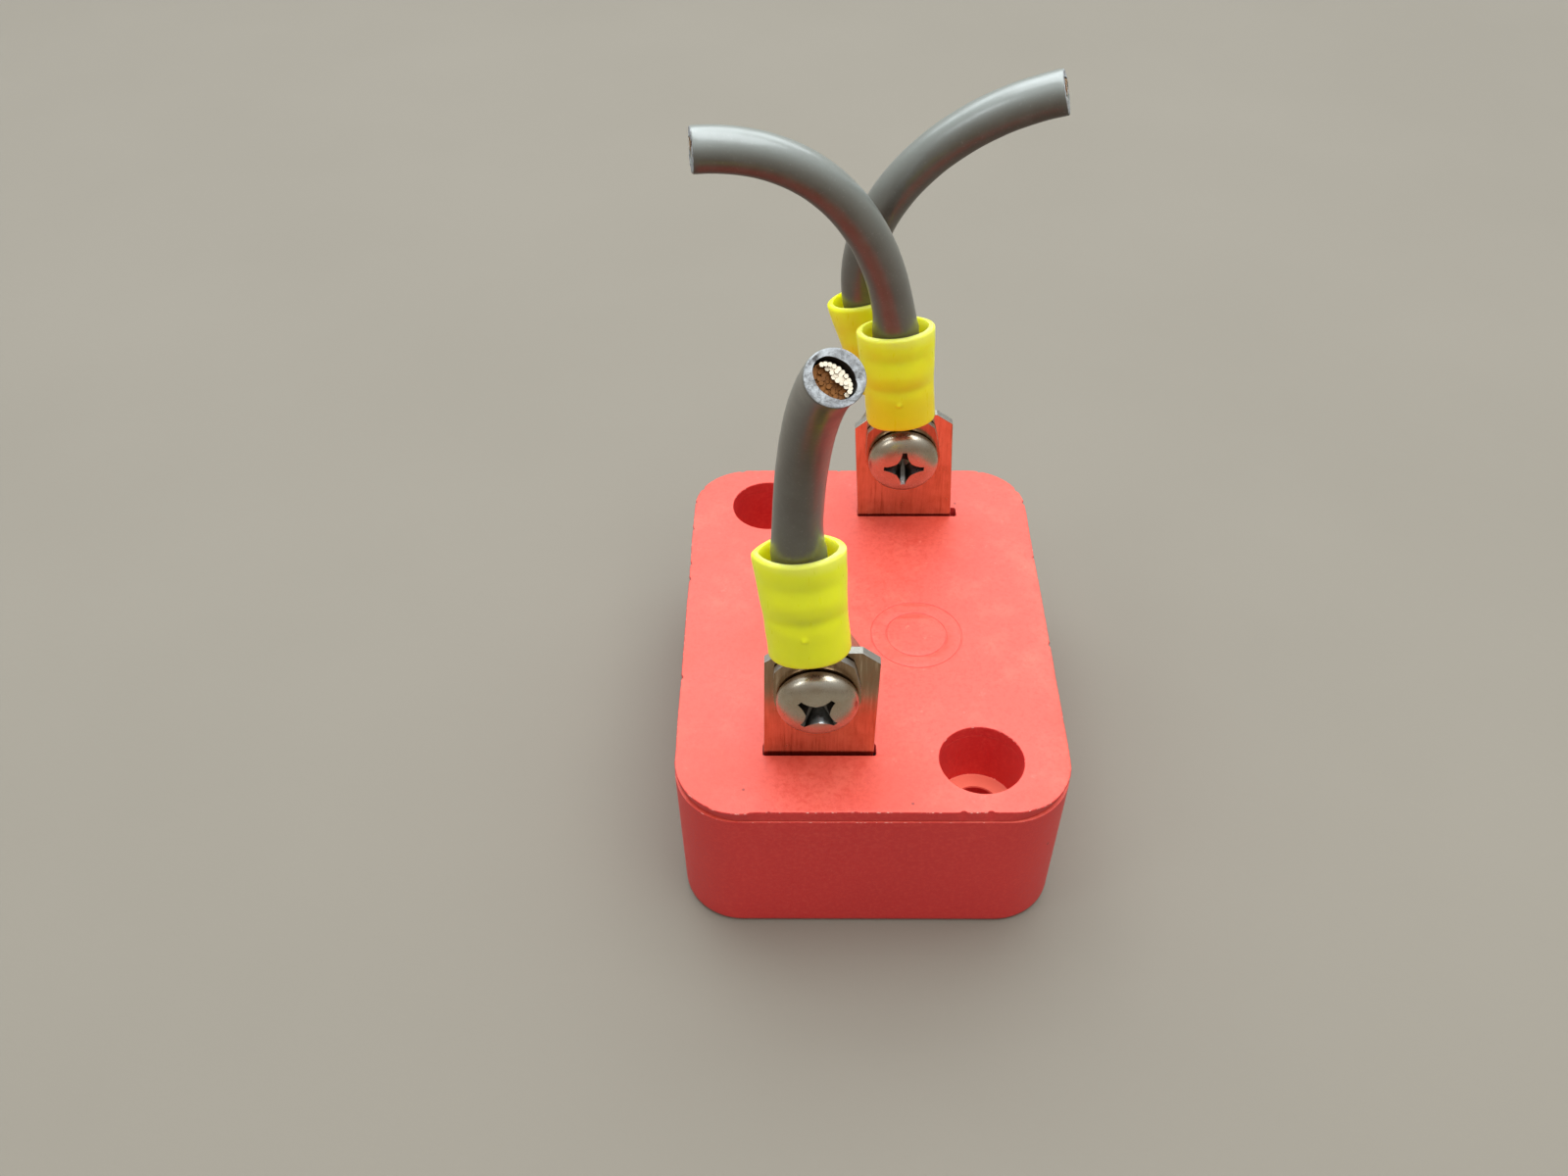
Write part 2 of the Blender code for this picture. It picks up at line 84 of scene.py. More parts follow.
# Tabs. A lean is to the left, as seen from the front.
TAB_W = 12.5 * MM
TAB_T = 1.1 * MM
TAB_RISE = 16.6 * MM
TAB_CHAMFER_W = 2.0 * MM
TAB_CHAMFER_H = 1.6 * MM
TAB_HOLE_R = 2.6 * MM
TAB_FOOT_END = 8.0 * MM
TAB_BEND_R = 1.05 * MM
FRONT_TAB = (-6.1 * MM, -20.72 * MM, math.radians(-1.0))
REAR_TAB = (5.95 * MM, 20.7 * MM, math.radians(3.0))
# Slots in the lid: centre and width. The rear one runs on past its tab, to the right.
FRONT_SLOT = (-6.0 * MM, -20.72 * MM, 12.9 * MM)
REAR_SLOT = (6.28 * MM, 20.78 * MM, 13.3 * MM)

# Screws, number 10-32 by 3/8 inch, with 3/8 inch nuts and split washers.
PITCH = 25.4 / 32 * MM
THREAD_DEPTH = 0.42 * MM
NUT_THREAD_DEPTH = 0.3 * MM
SCREW_R = 2.41 * MM
SCREW_L = 9.53 * MM
HEAD_R = 4.5 * MM
HEAD_H = 2.35 * MM
# The cross recess, in mm: its arms' reach, half widths at core and tips, height off the crown.
RECESS = (
    (2.9, 1.06, 0.36, 0.5),
    (2.52, 0.84, 0.29, -0.3),
    (2.28, 0.74, 0.26, -0.9),
    (1.15, 0.58, 0.25, -2.0),
)
RECESS_DEPTH = 2.35 * MM
NUT_FLATS = 9.525 * MM
NUT_T = 3.18 * MM
NUT_BORE_R = 2.5 * MM
WASHER_T = 1.2 * MM
WASHER_R = 4.25 * MM
WASHER_BORE_R = 2.6 * MM
WASHER_SPLIT = math.radians(12)
WASHER_SPLIT_AT = math.radians(35)

# Ring lugs: +Y runs up the lug from the ring's centre, +Z off the tab.
RING_R = 4.75 * MM
RING_HOLE_R = 2.6 * MM
SHOULDER_Y = 4.3 * MM
SHOULDER_HALF_W = 4.4 * MM
NECK_Y = (3.9 * MM, 6.6 * MM)
NECK_HALF_W = 2.25 * MM
ROLL_START = 5.6 * MM
SHEET_T = 0.9 * MM
SHEET_MIDDLE = 0.5 * MM
BARREL_FOOT = 7.0 * MM
BARREL_TUCK = 0.5 * MM
BARREL_END = 16.2 * MM
BARREL_MIDDLE = (2.4 * MM, 1.98 * MM)
BARREL_RISE = 3.3 * MM

# Insulating sleeves: half widths across and off the tab.
SLEEVE_L = 13.2 * MM
SLEEVE_FOOT = (4.25 * MM, 3.1 * MM)
SLEEVE_MOUTH = (4.65 * MM, 2.8 * MM)
SLEEVE_FOOT_BORE = (3.05 * MM, 2.5 * MM)
SLEEVE_MOUTH_BORE = (3.82 * MM, 2.2 * MM)
SLEEVE_FOOT_ROUND = 0.42 * MM
SLEEVE_LIP_ROUND = 0.3 * MM
SLEEVE_FOOT_PINCH = 0.92
# Two crimp dents and a swell: height in mm, then middle and width as shares of the length.
SLEEVE_BANDS = ((-0.22, 0.44, 0.055), (-0.11, 0.76, 0.06), (0.12, 0.6, 0.07))

# Wires, 10 gauge.
JACKET_R = 2.4 * MM
JACKET_BORE_R = 1.56 * MM
JACKET_START = 16.6 * MM
SQUEEZE_REACH = 1.8 * MM
# Nicks in the front wire's cut face: where in degrees, half width in radians, depth in mm.
CUT_NICKS = ((172, 0.09, 0.6), (44, 0.16, 0.3), (318, 0.08, 0.35))
CUT_FLARE_REACH = 2.5 * MM
CUT_BORE = (1.94 * MM, 1.46 * MM)
CONDUCTOR_START = 8.8 * MM
STRAND_LAYERS = 4
STRAND_R = 1.45 * MM / (2 * STRAND_LAYERS + 1)
STRAND_LAY = 30.0 * MM

JOINTS = {joint["name"]: joint for joint in frame["joints"]}
LID_LOW, LID_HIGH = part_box("lid")
LID_TOP = LID_HIGH.z


def smoothstep(low, high, value):
    t = min(1.0, max(0.0, (value - low) / (high - low)))
    return t * t * (3 - 2 * t)


def lerp(a, b, t):
    return a + (b - a) * t


def shares(steps):
    return [i / steps for i in range(steps + 1)]


def angles_round(sides):
    return [math.tau * i / sides for i in range(sides)]


# ---- materials


class Nodes:
    """Short names for building one material's node tree, on the object's own coordinates."""

    def __init__(self, name, colour, roughness, metallic=0.0):
        self.material = bpy.data.materials.new(name)
        self.material.use_nodes = True
        self.tree = self.material.node_tree
        self.shader = self.tree.nodes["Principled BSDF"]
        self.shader.inputs["Metallic"].default_value = metallic
        self.coordinates = self.add("TexCoord", {}).outputs["Object"]
        self.colour = (*colour, 1.0)
        self.roughness = roughness
        self.normal = None

    def feed(self, node, inputs):
        """Connects or sets a node's inputs."""
        for name, value in inputs.items():
            if hasattr(value, "is_linked"):
                self.tree.links.new(value, node.inputs[name])
            else:
                node.inputs[name].default_value = value

    def add(self, kind, inputs):
        node = self.tree.nodes.new("ShaderNode" + kind)
        self.feed(node, inputs)
        return node

    def stretched(self, scale):
        """The coordinates, scaled differently along each axis."""
        return self.add("Mapping", {"Vector": self.coordinates, "Scale": scale}).outputs["Vector"]

    def noise(self, size, detail=3.0, rough=0.5, vector=None):
        """Noise whose features are about a size across."""
        inputs = {"Vector": vector or self.coordinates, "Scale": 1.0 / size}
        inputs.update({"Detail": detail, "Roughness": rough})
        return self.add("TexNoise", inputs).outputs["Fac"]

    def remap(self, value, low, high, to_low=0.0, to_high=1.0):
        inputs = {"Value": value, "From Min": low, "From Max": high}
        inputs.update({"To Min": to_low, "To Max": to_high})
        return self.add("MapRange", inputs).outputs["Result"]

    def times(self, first, second):
        node = self.add("Math", {0: first, 1: second})
        node.operation = "MULTIPLY"
        return node.outputs[0]

    def axis(self, name, vector=None):
        return self.add("SeparateXYZ", {0: vector or self.coordinates}).outputs[name]

    def facing(self, name):
        """How far the surface faces along a world axis."""
        return self.axis(name, self.add("NewGeometry", {}).outputs["Normal"])

    def tint(self, factor, colour):
        """Mixes another colour into the material's colour."""
        inputs = {"Fac": factor, "Color1": self.colour, "Color2": (*colour, 1.0)}
        self.colour = self.add("MixRGB", inputs).outputs["Color"]

    def stain(self, value, low, high, amount, colour, where=None):
        """Tints by up to an amount as a value goes from low to high, where a mask lets it."""
        factor = self.remap(value, low, high, 0.0, amount)
        self.tint(self.times(where, factor) if where else factor, colour)

    def bump(self, height, depth):
        """Adds relief that is depth deep where height goes from 0 to 1."""
        inputs = {"Height": height, "Distance": depth}
        if self.normal:
            inputs["Normal"] = self.normal
        self.normal = self.add("Bump", inputs).outputs["Normal"]

    def finish(self, more=None):
        """The material, with more of the shader's inputs set."""
        inputs = {"Base Color": self.colour, "Roughness": self.roughness}
        if self.normal:
            inputs["Normal"] = self.normal
        self.feed(self.shader, {**inputs, **(more or {})})
        return self.material


def red_plastic():
    """Matte moulded red: deep on the sides, painted paler where it faces up for the overhead light on
    it, scuffed there, with painted light on the counterbore seats and a few specks.
    """
    n = Nodes("red_plastic", (0.60, 0.027, 0.027), 0.5)
    mottle = n.noise(9 * MM, 4.0)
    n.stain(mottle, 0.35, 0.7, 0.4, (0.53, 0.02, 0.023))
    # Painted light: faces turned up get a paler, whiter red, standing in for the glare of the
    # overhead light on them.
    facing_up = n.remap(n.facing("Z"), 0.5, 0.95)
    n.tint(facing_up, (0.62, 0.07, 0.046))
    worn = n.noise(6 * MM, 6.0, 0.7)
    n.stain(worn, 0.5, 0.68, 0.65, (0.72, 0.12, 0.078), facing_up)
    patches = n.noise(14 * MM)
    n.stain(patches, 0.48, 0.66, 0.6, (0.62, 0.05, 0.024), facing_up)
    fine = n.noise(0.5 * MM, 4.0, 0.65)
    n.stain(fine, 0.45, 0.7, 0.3, (0.78, 0.105, 0.075))
    n.stain(fine, 0.5, 0.34, 0.5, (0.56, 0.04, 0.022), facing_up)
    scuffs = n.noise(1.6 * MM, 6.0, 0.75)
    n.stain(scuffs, 0.62, 0.74, 0.5, (0.82, 0.2, 0.14), facing_up)
    # Painted light: the counterbore seats, deep in their holes, are painted brighter, as a pool of
    # overhead light.
    seat = n.remap(n.axis("Z"), LID_TOP - 7 * MM, LID_TOP - 8 * MM)
    n.tint(n.times(seat, facing_up), (0.9, 0.2, 0.13))
    edge = n.times(n.remap(n.facing("Z"), 0.15, 0.35), n.remap(n.facing("Z"), 0.64, 0.52))
    chips = n.remap(n.noise(0.7 * MM, 4.0, 0.7), 0.56, 0.64, 0.0, 0.9)
    n.tint(n.times(edge, chips), (0.92, 0.55, 0.48))
    specks = n.add("TexVoronoi", {"Vector": n.coordinates, "Scale": 1 / (7.5 * MM)})
    n.tint(n.remap(specks.outputs["Distance"], 0.012, 0.034, 0.75, 0.0), (0.1, 0.01, 0.01))
    n.roughness = n.remap(fine, 0.3, 0.7, 0.42, 0.58)
    n.bump(n.noise(0.25 * MM, 2.0), 0.02 * MM)
    n.bump(n.noise(3.0 * MM, 2.0), 0.02 * MM)
    return n.finish()


def tin_plate(name, browning):
    """Bright tin over a stamped sheet: rolling lines, dull patches, browner towards the top."""
    n = Nodes(name, (0.62, 0.47, 0.32), 0.2, 1.0)
    rolled = n.noise(0.3 * MM, 4.0, 0.65, n.stretched((1.0, 1.0, 0.06)))
    patches = n.noise(2.2 * MM, 4.0, 0.6)
    n.stain(patches, 0.4, 0.7, 0.6, (0.46, 0.28, 0.15))
    # Browner towards the top.
    height = n.remap(n.axis("Z"), LID_TOP + 4 * MM, LID_TOP + 12 * MM, 0.0, browning)
    n.tint(height, (0.33, 0.22, 0.13))
    n.stain(rolled, 0.52, 0.72, 0.6, (0.74, 0.60, 0.44))
    n.stain(rolled, 0.46, 0.3, 0.7, (0.34, 0.2, 0.11))
    n.roughness = n.remap(patches, 0.3, 0.75, 0.14, 0.3)
    n.bump(rolled, 0.008 * MM)
    return n.finish()


def sheared_edge():
    """The torn, glittering rim that a stamping die leaves, with painted shade where it faces up."""
    n = Nodes("sheared_edge", (0.70, 0.69, 0.66), 0.4, 1.0)
    # Painted shade: faces turned up are darkened, to tone down their reflection of the overhead
    # light.
    n.tint(n.remap(n.facing("Z"), 0.6, 0.95), (0.22, 0.215, 0.19))
    torn = n.noise(0.16 * MM, 4.0, 0.7)
    n.stain(torn, 0.4, 0.7, 0.5, (0.52, 0.46, 0.40))
    n.roughness = n.remap(torn, 0.3, 0.7, 0.28, 0.5)
    n.bump(torn, 0.03 * MM)
    return n.finish()


def zinc_steel():
    """Bright zinc on steel: a slightly warm grey with fine tumbling marks."""
    n = Nodes("zinc_steel", (0.53, 0.465, 0.375), 0.3, 1.0)
    marks = n.noise(0.3 * MM, 5.0, 0.7)
    patches = n.noise(1.6 * MM)
    n.stain(patches, 0.42, 0.7, 0.6, (0.44, 0.34, 0.24))
    n.roughness = n.remap(marks, 0.3, 0.7, 0.24, 0.36)
    n.bump(marks, 0.008 * MM)
    n.bump(n.noise(1.2 * MM, 2.0), 0.01 * MM)
    return n.finish()


def driven_recess():
    """The punched cross: painted dark for the shade in its depth, with grime, and painted glints
    where its flanks face up.
    """
    # Painted shade: the whole recess is dark, for the shade deep inside it.
    n = Nodes("driven_recess", (0.16, 0.14, 0.12), 0.3, 1.0)
    # Painted glint: flanks turned up are pale, standing in for the overhead light they catch.
    n.tint(n.remap(n.facing("Z"), 0.74, 0.92), (0.84, 0.86, 0.86))
    # Darker mottling: partly grime, partly painted shade deep in the recess.
    grime_and_shade = n.noise(0.5 * MM, 4.0)
    n.stain(grime_and_shade, 0.5, 0.75, 0.7, (0.08, 0.07, 0.055))
    n.bump(grime_and_shade, 0.02 * MM)
    return n.finish()


def yellow_nylon(name, foot, mouth, mouth_z):
    """Waxy nylon that light soaks into: deeper at its foot, with painted light at the lip of its
    mouth, painted shade on faces turned back and a faint painted glow.
    """
    n = Nodes(name, foot, 0.34)
    height = n.axis("Z")
    n.tint(n.remap(height, mouth_z - 10 * MM, mouth_z - 1 * MM), mouth)
    cloud = n.noise(3.0 * MM, 3.0)
    n.stain(cloud, 0.4, 0.7, 0.5, foot)
    # Painted light: the lip of the mouth is paler, for light coming through its thin rim.
    n.stain(height, mouth_z - 1.2 * MM, mouth_z, 0.6, (0.93, 0.97, 0.2))
    # Painted shade: faces turned to the back are darker and deeper, to tone down the light from
    # behind.
    n.stain(n.facing("Y"), 0.1, 0.9, 0.55, (0.52, 0.47, 0.012))
    drawn = n.noise(0.5 * MM, 3.0, 0.6, n.stretched((1.0, 1.0, 0.2)))
    n.roughness = n.remap(drawn, 0.3, 0.7, 0.26, 0.42)
    n.bump(drawn, 0.01 * MM)
    n.bump(n.noise(1.8 * MM, 2.0), 0.04 * MM)
    return n.finish({
        "Subsurface Weight": 0.9,
        "Subsurface Radius": (1.0, 0.9, 0.12),
        "Subsurface Scale": 2.2 * MM,
        # Painted light: a faint glow in the mouth's colour, standing in for light shining through the
        # nylon.
        "Emission Color": (*mouth, 1.0),
        "Emission Strength": 0.04,
    })


def grey_pvc():
    """Extruded grey jacket: painted paler facing up for the overhead light on it, clouded and dusty,
    with a sheen that fades below.
    """
    n = Nodes("grey_pvc", (0.058, 0.049, 0.038), 0.4)
    # Painted light: faces turned up are paler, for the overhead light on them.
    n.tint(n.remap(n.facing("Z"), -0.05, 0.65), (0.185, 0.2, 0.185))
    cloud = n.noise(2.2 * MM, 4.0)
    n.stain(cloud, 0.4, 0.75, 0.3, (0.12, 0.12, 0.105))
    dust = n.noise(0.25 * MM, 3.0)
    n.stain(dust, 0.62, 0.8, 0.25, (0.34, 0.33, 0.31))
    n.roughness = n.remap(cloud, 0.3, 0.7, 0.32, 0.42)
    n.bump(n.noise(0.6 * MM, 3.0), 0.012 * MM)
    sheen = n.remap(n.facing("Z"), -0.6, -0.1, 0.15, 1.0)
    coat = n.times(sheen, 0.46)
    return n.finish({"Specular IOR Level": sheen, "Coat Weight": coat, "Coat Roughness": 0.2})


def cut_pvc():
    """The sheared end of the jacket: paler and rougher than its skin."""
    n = Nodes("cut_pvc", (0.42, 0.44, 0.46), 0.6)
    torn = n.noise(0.35 * MM, 5.0, 0.7)
    n.stain(torn, 0.46, 0.62, 0.85, (0.15, 0.15, 0.155))
    n.stain(n.noise(1.6 * MM, 2.0), 0.42, 0.62, 0.5, (0.2, 0.2, 0.21))
    n.bump(torn, 0.14 * MM)
    return n.finish()


def copper():
    """Soft drawn copper with patches of brown oxide."""
    n = Nodes("copper", (0.22, 0.085, 0.02), 0.5, 0.2)
    oxide = n.noise(0.7 * MM, 4.0, 0.6)
    n.stain(oxide, 0.4, 0.7, 0.6, (0.1, 0.042, 0.018))
    n.roughness = n.remap(oxide, 0.3, 0.7, 0.4, 0.6)
    n.bump(n.noise(0.12 * MM, 2.0), 0.006 * MM)
    return n.finish({"Specular IOR Level": 0.2})


def cut_copper():
    """Freshly cut strand ends, pale and bright."""
    n = Nodes("cut_copper", (0.76, 0.69, 0.54), 0.6)
    smear = n.noise(0.2 * MM, 3.0)
    n.stain(smear, 0.5, 0.75, 0.6, (0.66, 0.42, 0.32))
    n.bump(smear, 0.03 * MM)
    return n.finish()


def cast_solid(name, colour, speck, roughness):
    """A dull cast or fired solid with fine mineral specks."""
    n = Nodes(name, colour, roughness)
    n.stain(n.noise(0.4 * MM, 4.0, 0.7), 0.5, 0.75, 0.5, speck)
    n.bump(n.noise(1.0 * MM, 3.0), 0.03 * MM)
    return n.finish()


def pale_floor():
    """A plain pale matte sheet."""
    n = Nodes("pale_floor", (0.18, 0.158, 0.127), 0.75)
    n.stain(n.noise(60 * MM, 3.0), 0.35, 0.7, 0.2, (0.215, 0.19, 0.156))
    n.bump(n.noise(1.2 * MM, 3.0), 0.02 * MM)
    return n.finish()


# ---- mesh helpers


def add_rows(bm, rings, wrap=False, cap=False):
    """Faces between rings of equally many points. Returns the rings as vertices."""
    rows = [[bm.verts.new(point) for point in ring] for ring in rings]
    join_rows(bm, rows + rows[:1] if wrap else rows)
    if cap:
        bm.faces.new(rows[0])
        bm.faces.new(rows[-1])
    return rows


def add_band(bm, rings, under, upper):
    """Faces between rings, the first and last of which go on to bound two flat regions."""
    rows = add_rows(bm, rings)
    under.append(rows[0])
    upper.append(rows[-1])


def add_fan(bm, ring, point):
    """Faces from a ring of vertices to one more point."""
    peak = bm.verts.new(point)
    for i, vertex in enumerate(ring):
        bm.faces.new((vertex, ring[(i + 1) % len(ring)], peak))


def join_rows(bm, rows, finish=0, closed=True):
    for low, high in zip(rows, rows[1:]):
        count = len(low)
        for i in range(count if closed else count - 1):
            j = (i + 1) % count
            face = bm.faces.new((low[i], low[j], high[j], high[i]))
            face.material_index = finish


def fill_flat(bm, loops):
    """Fills the flat region inside the first loop of vertices and outside the others."""
    vertices = [vertex for loop in loops for vertex in loop]
    for corners in tessellate_polygon([[vertex.co for vertex in loop] for loop in loops]):
        bm.faces.new([vertices[i] for i in corners])


def polar(radius, angle, z=0.0):
    return Vector((radius * math.cos(angle), radius * math.sin(angle), z))


def circle(radius, z, sides, centre=(0.0, 0.0)):
    middle = Vector((*centre, z))
    return [middle + polar(radius, angle) for angle in angles_round(sides)]


def add_object(name, data):
    thing = bpy.data.objects.new(name, data)
    bpy.context.scene.collection.objects.link(thing)
    return thing


def mesh_of(name, bm):
    """Turns a bmesh into a mesh."""
    mesh = bpy.data.meshes.new(name)
    bm.to_mesh(mesh)
    bm.free()
    return mesh


def add_piece(name, bm, body, node, finishes, place=None, sharp=SHARP):
    """Makes a closed bmesh a piece that rides on a body and stands for a CAD node."""
    bmesh.ops.recalc_face_normals(bm, faces=bm.faces)
    mesh = mesh_of(name, bm)
    if place:
        mesh.transform(place)
    mesh.shade_smooth()
    mesh.set_sharp_from_angle(angle=math.radians(sharp))
    for finish in finishes:
        mesh.materials.append(MATERIALS[finish])
    piece = add_object(name, mesh)
    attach(piece, body)
    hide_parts(node)
    return piece


def round_edges(piece, width):
    step = piece.modifiers.new("round_edges", "BEVEL")
    step.width = width
    step.segments = 2
    step.limit_method = "ANGLE"
    step.angle_limit = math.radians(50)
    step.harden_normals = True


def even_normals(piece):
    step = piece.modifiers.new("even_normals", "WEIGHTED_NORMAL")
    step.keep_sharp = True


def cut(piece, bm, place):
    """Cuts a closed bmesh out of a piece, for good."""
    bmesh.ops.recalc_face_normals(bm, faces=bm.faces)
    cutter = add_object("cutter", mesh_of("cutter", bm))
    cutter.matrix_world = place
    step = piece.modifiers.new("cut", "BOOLEAN")
    step.object = cutter
    step.solver = "EXACT"
    bpy.context.view_layer.update()
    shown = piece.evaluated_get(bpy.context.evaluated_depsgraph_get())
    piece.data = bpy.data.meshes.new_from_object(shown)
    piece.modifiers.clear()
    bpy.data.objects.remove(cutter)
    piece.data.shade_smooth()
    piece.data.set_sharp_from_angle(angle=math.radians(SHARP))


# ---- box


def rounded_rectangle(half_x, half_y, radius, corner_steps, side_step=math.inf):
    """Points round a rounded rectangle, each with its outward direction."""
    corners = ((1, 1), (-1, 1), (-1, -1), (1, -1))
    centres = [Vector((sx * (half_x - radius), sy * (half_y - radius), 0)) for sx, sy in corners]
    points = []
    for quarter, centre in enumerate(centres):
        for share in shares(corner_steps):
            out = polar(1.0, math.tau / 4 * (quarter + share))
            points.append((centre + out * radius, out))
        ahead = centres[(quarter + 1) % 4] - centre
        steps = round(ahead.length / side_step)
        for i in range(1, steps):
            points.append((centre + out * radius + ahead * (i / steps), out))
    return points


def box_ring(inset, z):
    """The box's outline moved in, by a distance or by a function of a point and its direction."""
    ring = []
    for point, out in rounded_rectangle(LID_HIGH.x, LID_HIGH.y, CORNER_R, CORNER_STEPS, OUTLINE_STEP):
        depth = inset(point, out) if callable(inset) else inset
        ring.append(point - out * depth + Vector((0, 0, z)))
    return ring


def slot_ring(slot, grow, z):
    """A rounded slot's outline, grown outwards by a distance."""
    x, y, width = slot
    radius = SLOT_CORNER_R + grow
    outline = rounded_rectangle(width / 2 + grow, SLOT_L / 2 + grow, radius, 4)
    return [point + Vector((x, y, z)) for point, out in outline]


def lid_flash(point, out):
    """How far the lid's upper edge wanders in: fine tearing, a moulding step and a few nicks."""
    place = point / MM
    depth = 0.05 * noise.noise(place * 0.2) + 0.045 * noise.noise(place * 2.2)
    if out.y < -0.9:
        depth += 0.08 - 0.2 * smoothstep(-13.6, -14.1, place.x)
    nick = noise.noise(place * 0.9 + Vector((7.0, 3.0, 0)))
    return (depth + 0.2 * smoothstep(0.42, 0.5, nick)) * MM


def make_lid():
    low, top = LID_LOW.z, LID_TOP

    def side(depth, torn):
        """How far in the lid's side is: further in at the corners, but torn towards its edge."""

        def inset(point, out):
            at_corner = 0.25 * MM * min(1.0, 2 * abs(out.x * out.y))
            return depth + lerp(at_corner, lid_flash(point, out), torn)

        return inset

    profile = (
        (side(0.11 * MM, 0.0), low),
        (side(0.1 * MM, 0.1), low + 0.05 * MM),
        (side(0.09 * MM, 0.2), low + 0.18 * MM),
        (side(0.07 * MM, 0.4), low + 0.55 * MM),
        (side(0.04 * MM, 0.7), low + 0.95 * MM),
        (side(0.01 * MM, 1.0), top - 0.22 * MM),
        (side(0.02 * MM, 1.0), top - 0.12 * MM),
        (side(0.07 * MM, 1.0), top - 0.04 * MM),
        (side(0.17 * MM, 1.0), top - 0.006 * MM),
        (side(0.28 * MM, 1.0), top),
    )
    under, upper = [], []
    bm = bmesh.new()
    add_band(bm, [box_ring(inset, z) for inset, z in profile], under, upper)
    profile = (
        (0.0, low),
        (0.0, top - 0.16 * MM),
        (0.03 * MM, top - 0.07 * MM),
        (0.09 * MM, top - 0.015 * MM),
        (0.18 * MM, top),
    )
    for centre in HOLES:
        rings = [circle(COUNTERBORE_R + grow, z, 64, centre) for grow, z in profile]
        add_band(bm, rings, under, upper)
    profile = ((0.0, low), (0.0, top - 0.1 * MM), (0.04 * MM, top - 0.02 * MM), (0.1 * MM, top))
    for slot in (FRONT_SLOT, REAR_SLOT):
        add_band(bm, [slot_ring(slot, grow, z) for grow, z in profile], under, upper)
    half = MARK_GROOVE_W / 2
    groove = ((1.0, 0.0), (0.7, 0.3), (0.35, 1.0), (-0.35, 1.0), (-0.7, 0.3), (-1.0, 0.0))
    for radius in MARK_RADII:
        rings = []
        for across, depth in groove:
            rings.append(circle(radius + half * across, top - MARK_DEPTH * depth, 96, MARK_CENTRE))
        rows = add_rows(bm, rings)
        fill_flat(bm, upper + [rows[0]])
        upper = [rows[-1]]
    fill_flat(bm, upper)
    fill_flat(bm, under)
    even_normals(add_piece("lid_plate", bm, "housing", "lid", ["red"]))


def make_cup():
    """The cup, with two bosses that stand up to the lid round the mounting holes."""
    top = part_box("base_cup")[1].z
    seat = LID_TOP - COUNTERBORE_DEPTH
    boss_top = LID_LOW.z - 0.03 * MM

    def rim(inset):
        """The rim's edge: an inset that wanders a little."""
        offset = Vector((0, 0, 5 * MM))
        return lambda point, out: inset + 0.03 * MM * noise.noise((point + offset) / MM * 0.8)

    profile = (
        (DRAFT + 0.62 * MM, 0.0),
        (DRAFT + 0.38 * MM, 0.05 * MM),
        (DRAFT + 0.16 * MM, 0.2 * MM),
        (DRAFT + 0.03 * MM, 0.45 * MM),
        (DRAFT, 0.8 * MM),
        (DRAFT * 0.5, top * 0.5),
        (0.0, top - 0.14 * MM),
        (rim(0.01 * MM), top - 0.06 * MM),
        (rim(0.03 * MM), top - 0.02 * MM),
        (rim(0.08 * MM), top),
        (WALL, top),
        (WALL + DRAFT, FLOOR),
    )
    under, inside = [], []
    bm = bmesh.new()
    add_band(bm, [box_ring(inset, z) for inset, z in profile], under, inside)
    profile = (
        (THROUGH_R + 0.2 * MM, 0.0),
        (THROUGH_R, 0.2 * MM),
        (THROUGH_R, seat - 0.12 * MM),
        (THROUGH_R + 0.1 * MM, seat),
        (COUNTERBORE_R - 0.3 * MM, seat),
        (COUNTERBORE_R - 0.09 * MM, seat + 0.09 * MM),
        (COUNTERBORE_R, seat + 0.3 * MM),
        (COUNTERBORE_R, boss_top),
        (BOSS_R, boss_top),
        (BOSS_R, FLOOR),
    )
    for centre in HOLES:
        add_band(bm, [circle(radius, z, 64, centre) for radius, z in profile], under, inside)
    fill_flat(bm, under)
    fill_flat(bm, inside)
    even_normals(add_piece("cup_moulding", bm, "housing", "base_cup", ["red"]))


# ---- tabs


def tab_stations(side, centre_y, foot_z, pivot_z):
    """The strip's middle and its outer side's direction: foot, bend, and up to the pivot."""
    foot = Vector((0, side * TAB_FOOT_END, foot_z + TAB_T / 2))
    bend = Vector((0, side * (abs(centre_y) - TAB_BEND_R), foot.z + TAB_BEND_R))
    down = Vector((0, 0, -1))
    outwards = Vector((0, side, 0))
    stations = [(foot, down)]
    for share in shares(6):
        out = outwards * math.sin(math.pi / 2 * share) + down * math.cos(math.pi / 2 * share)
        stations.append((bend + out * TAB_BEND_R, out))
    stations.append((Vector((0, centre_y, pivot_z)), outwards))
    return stations


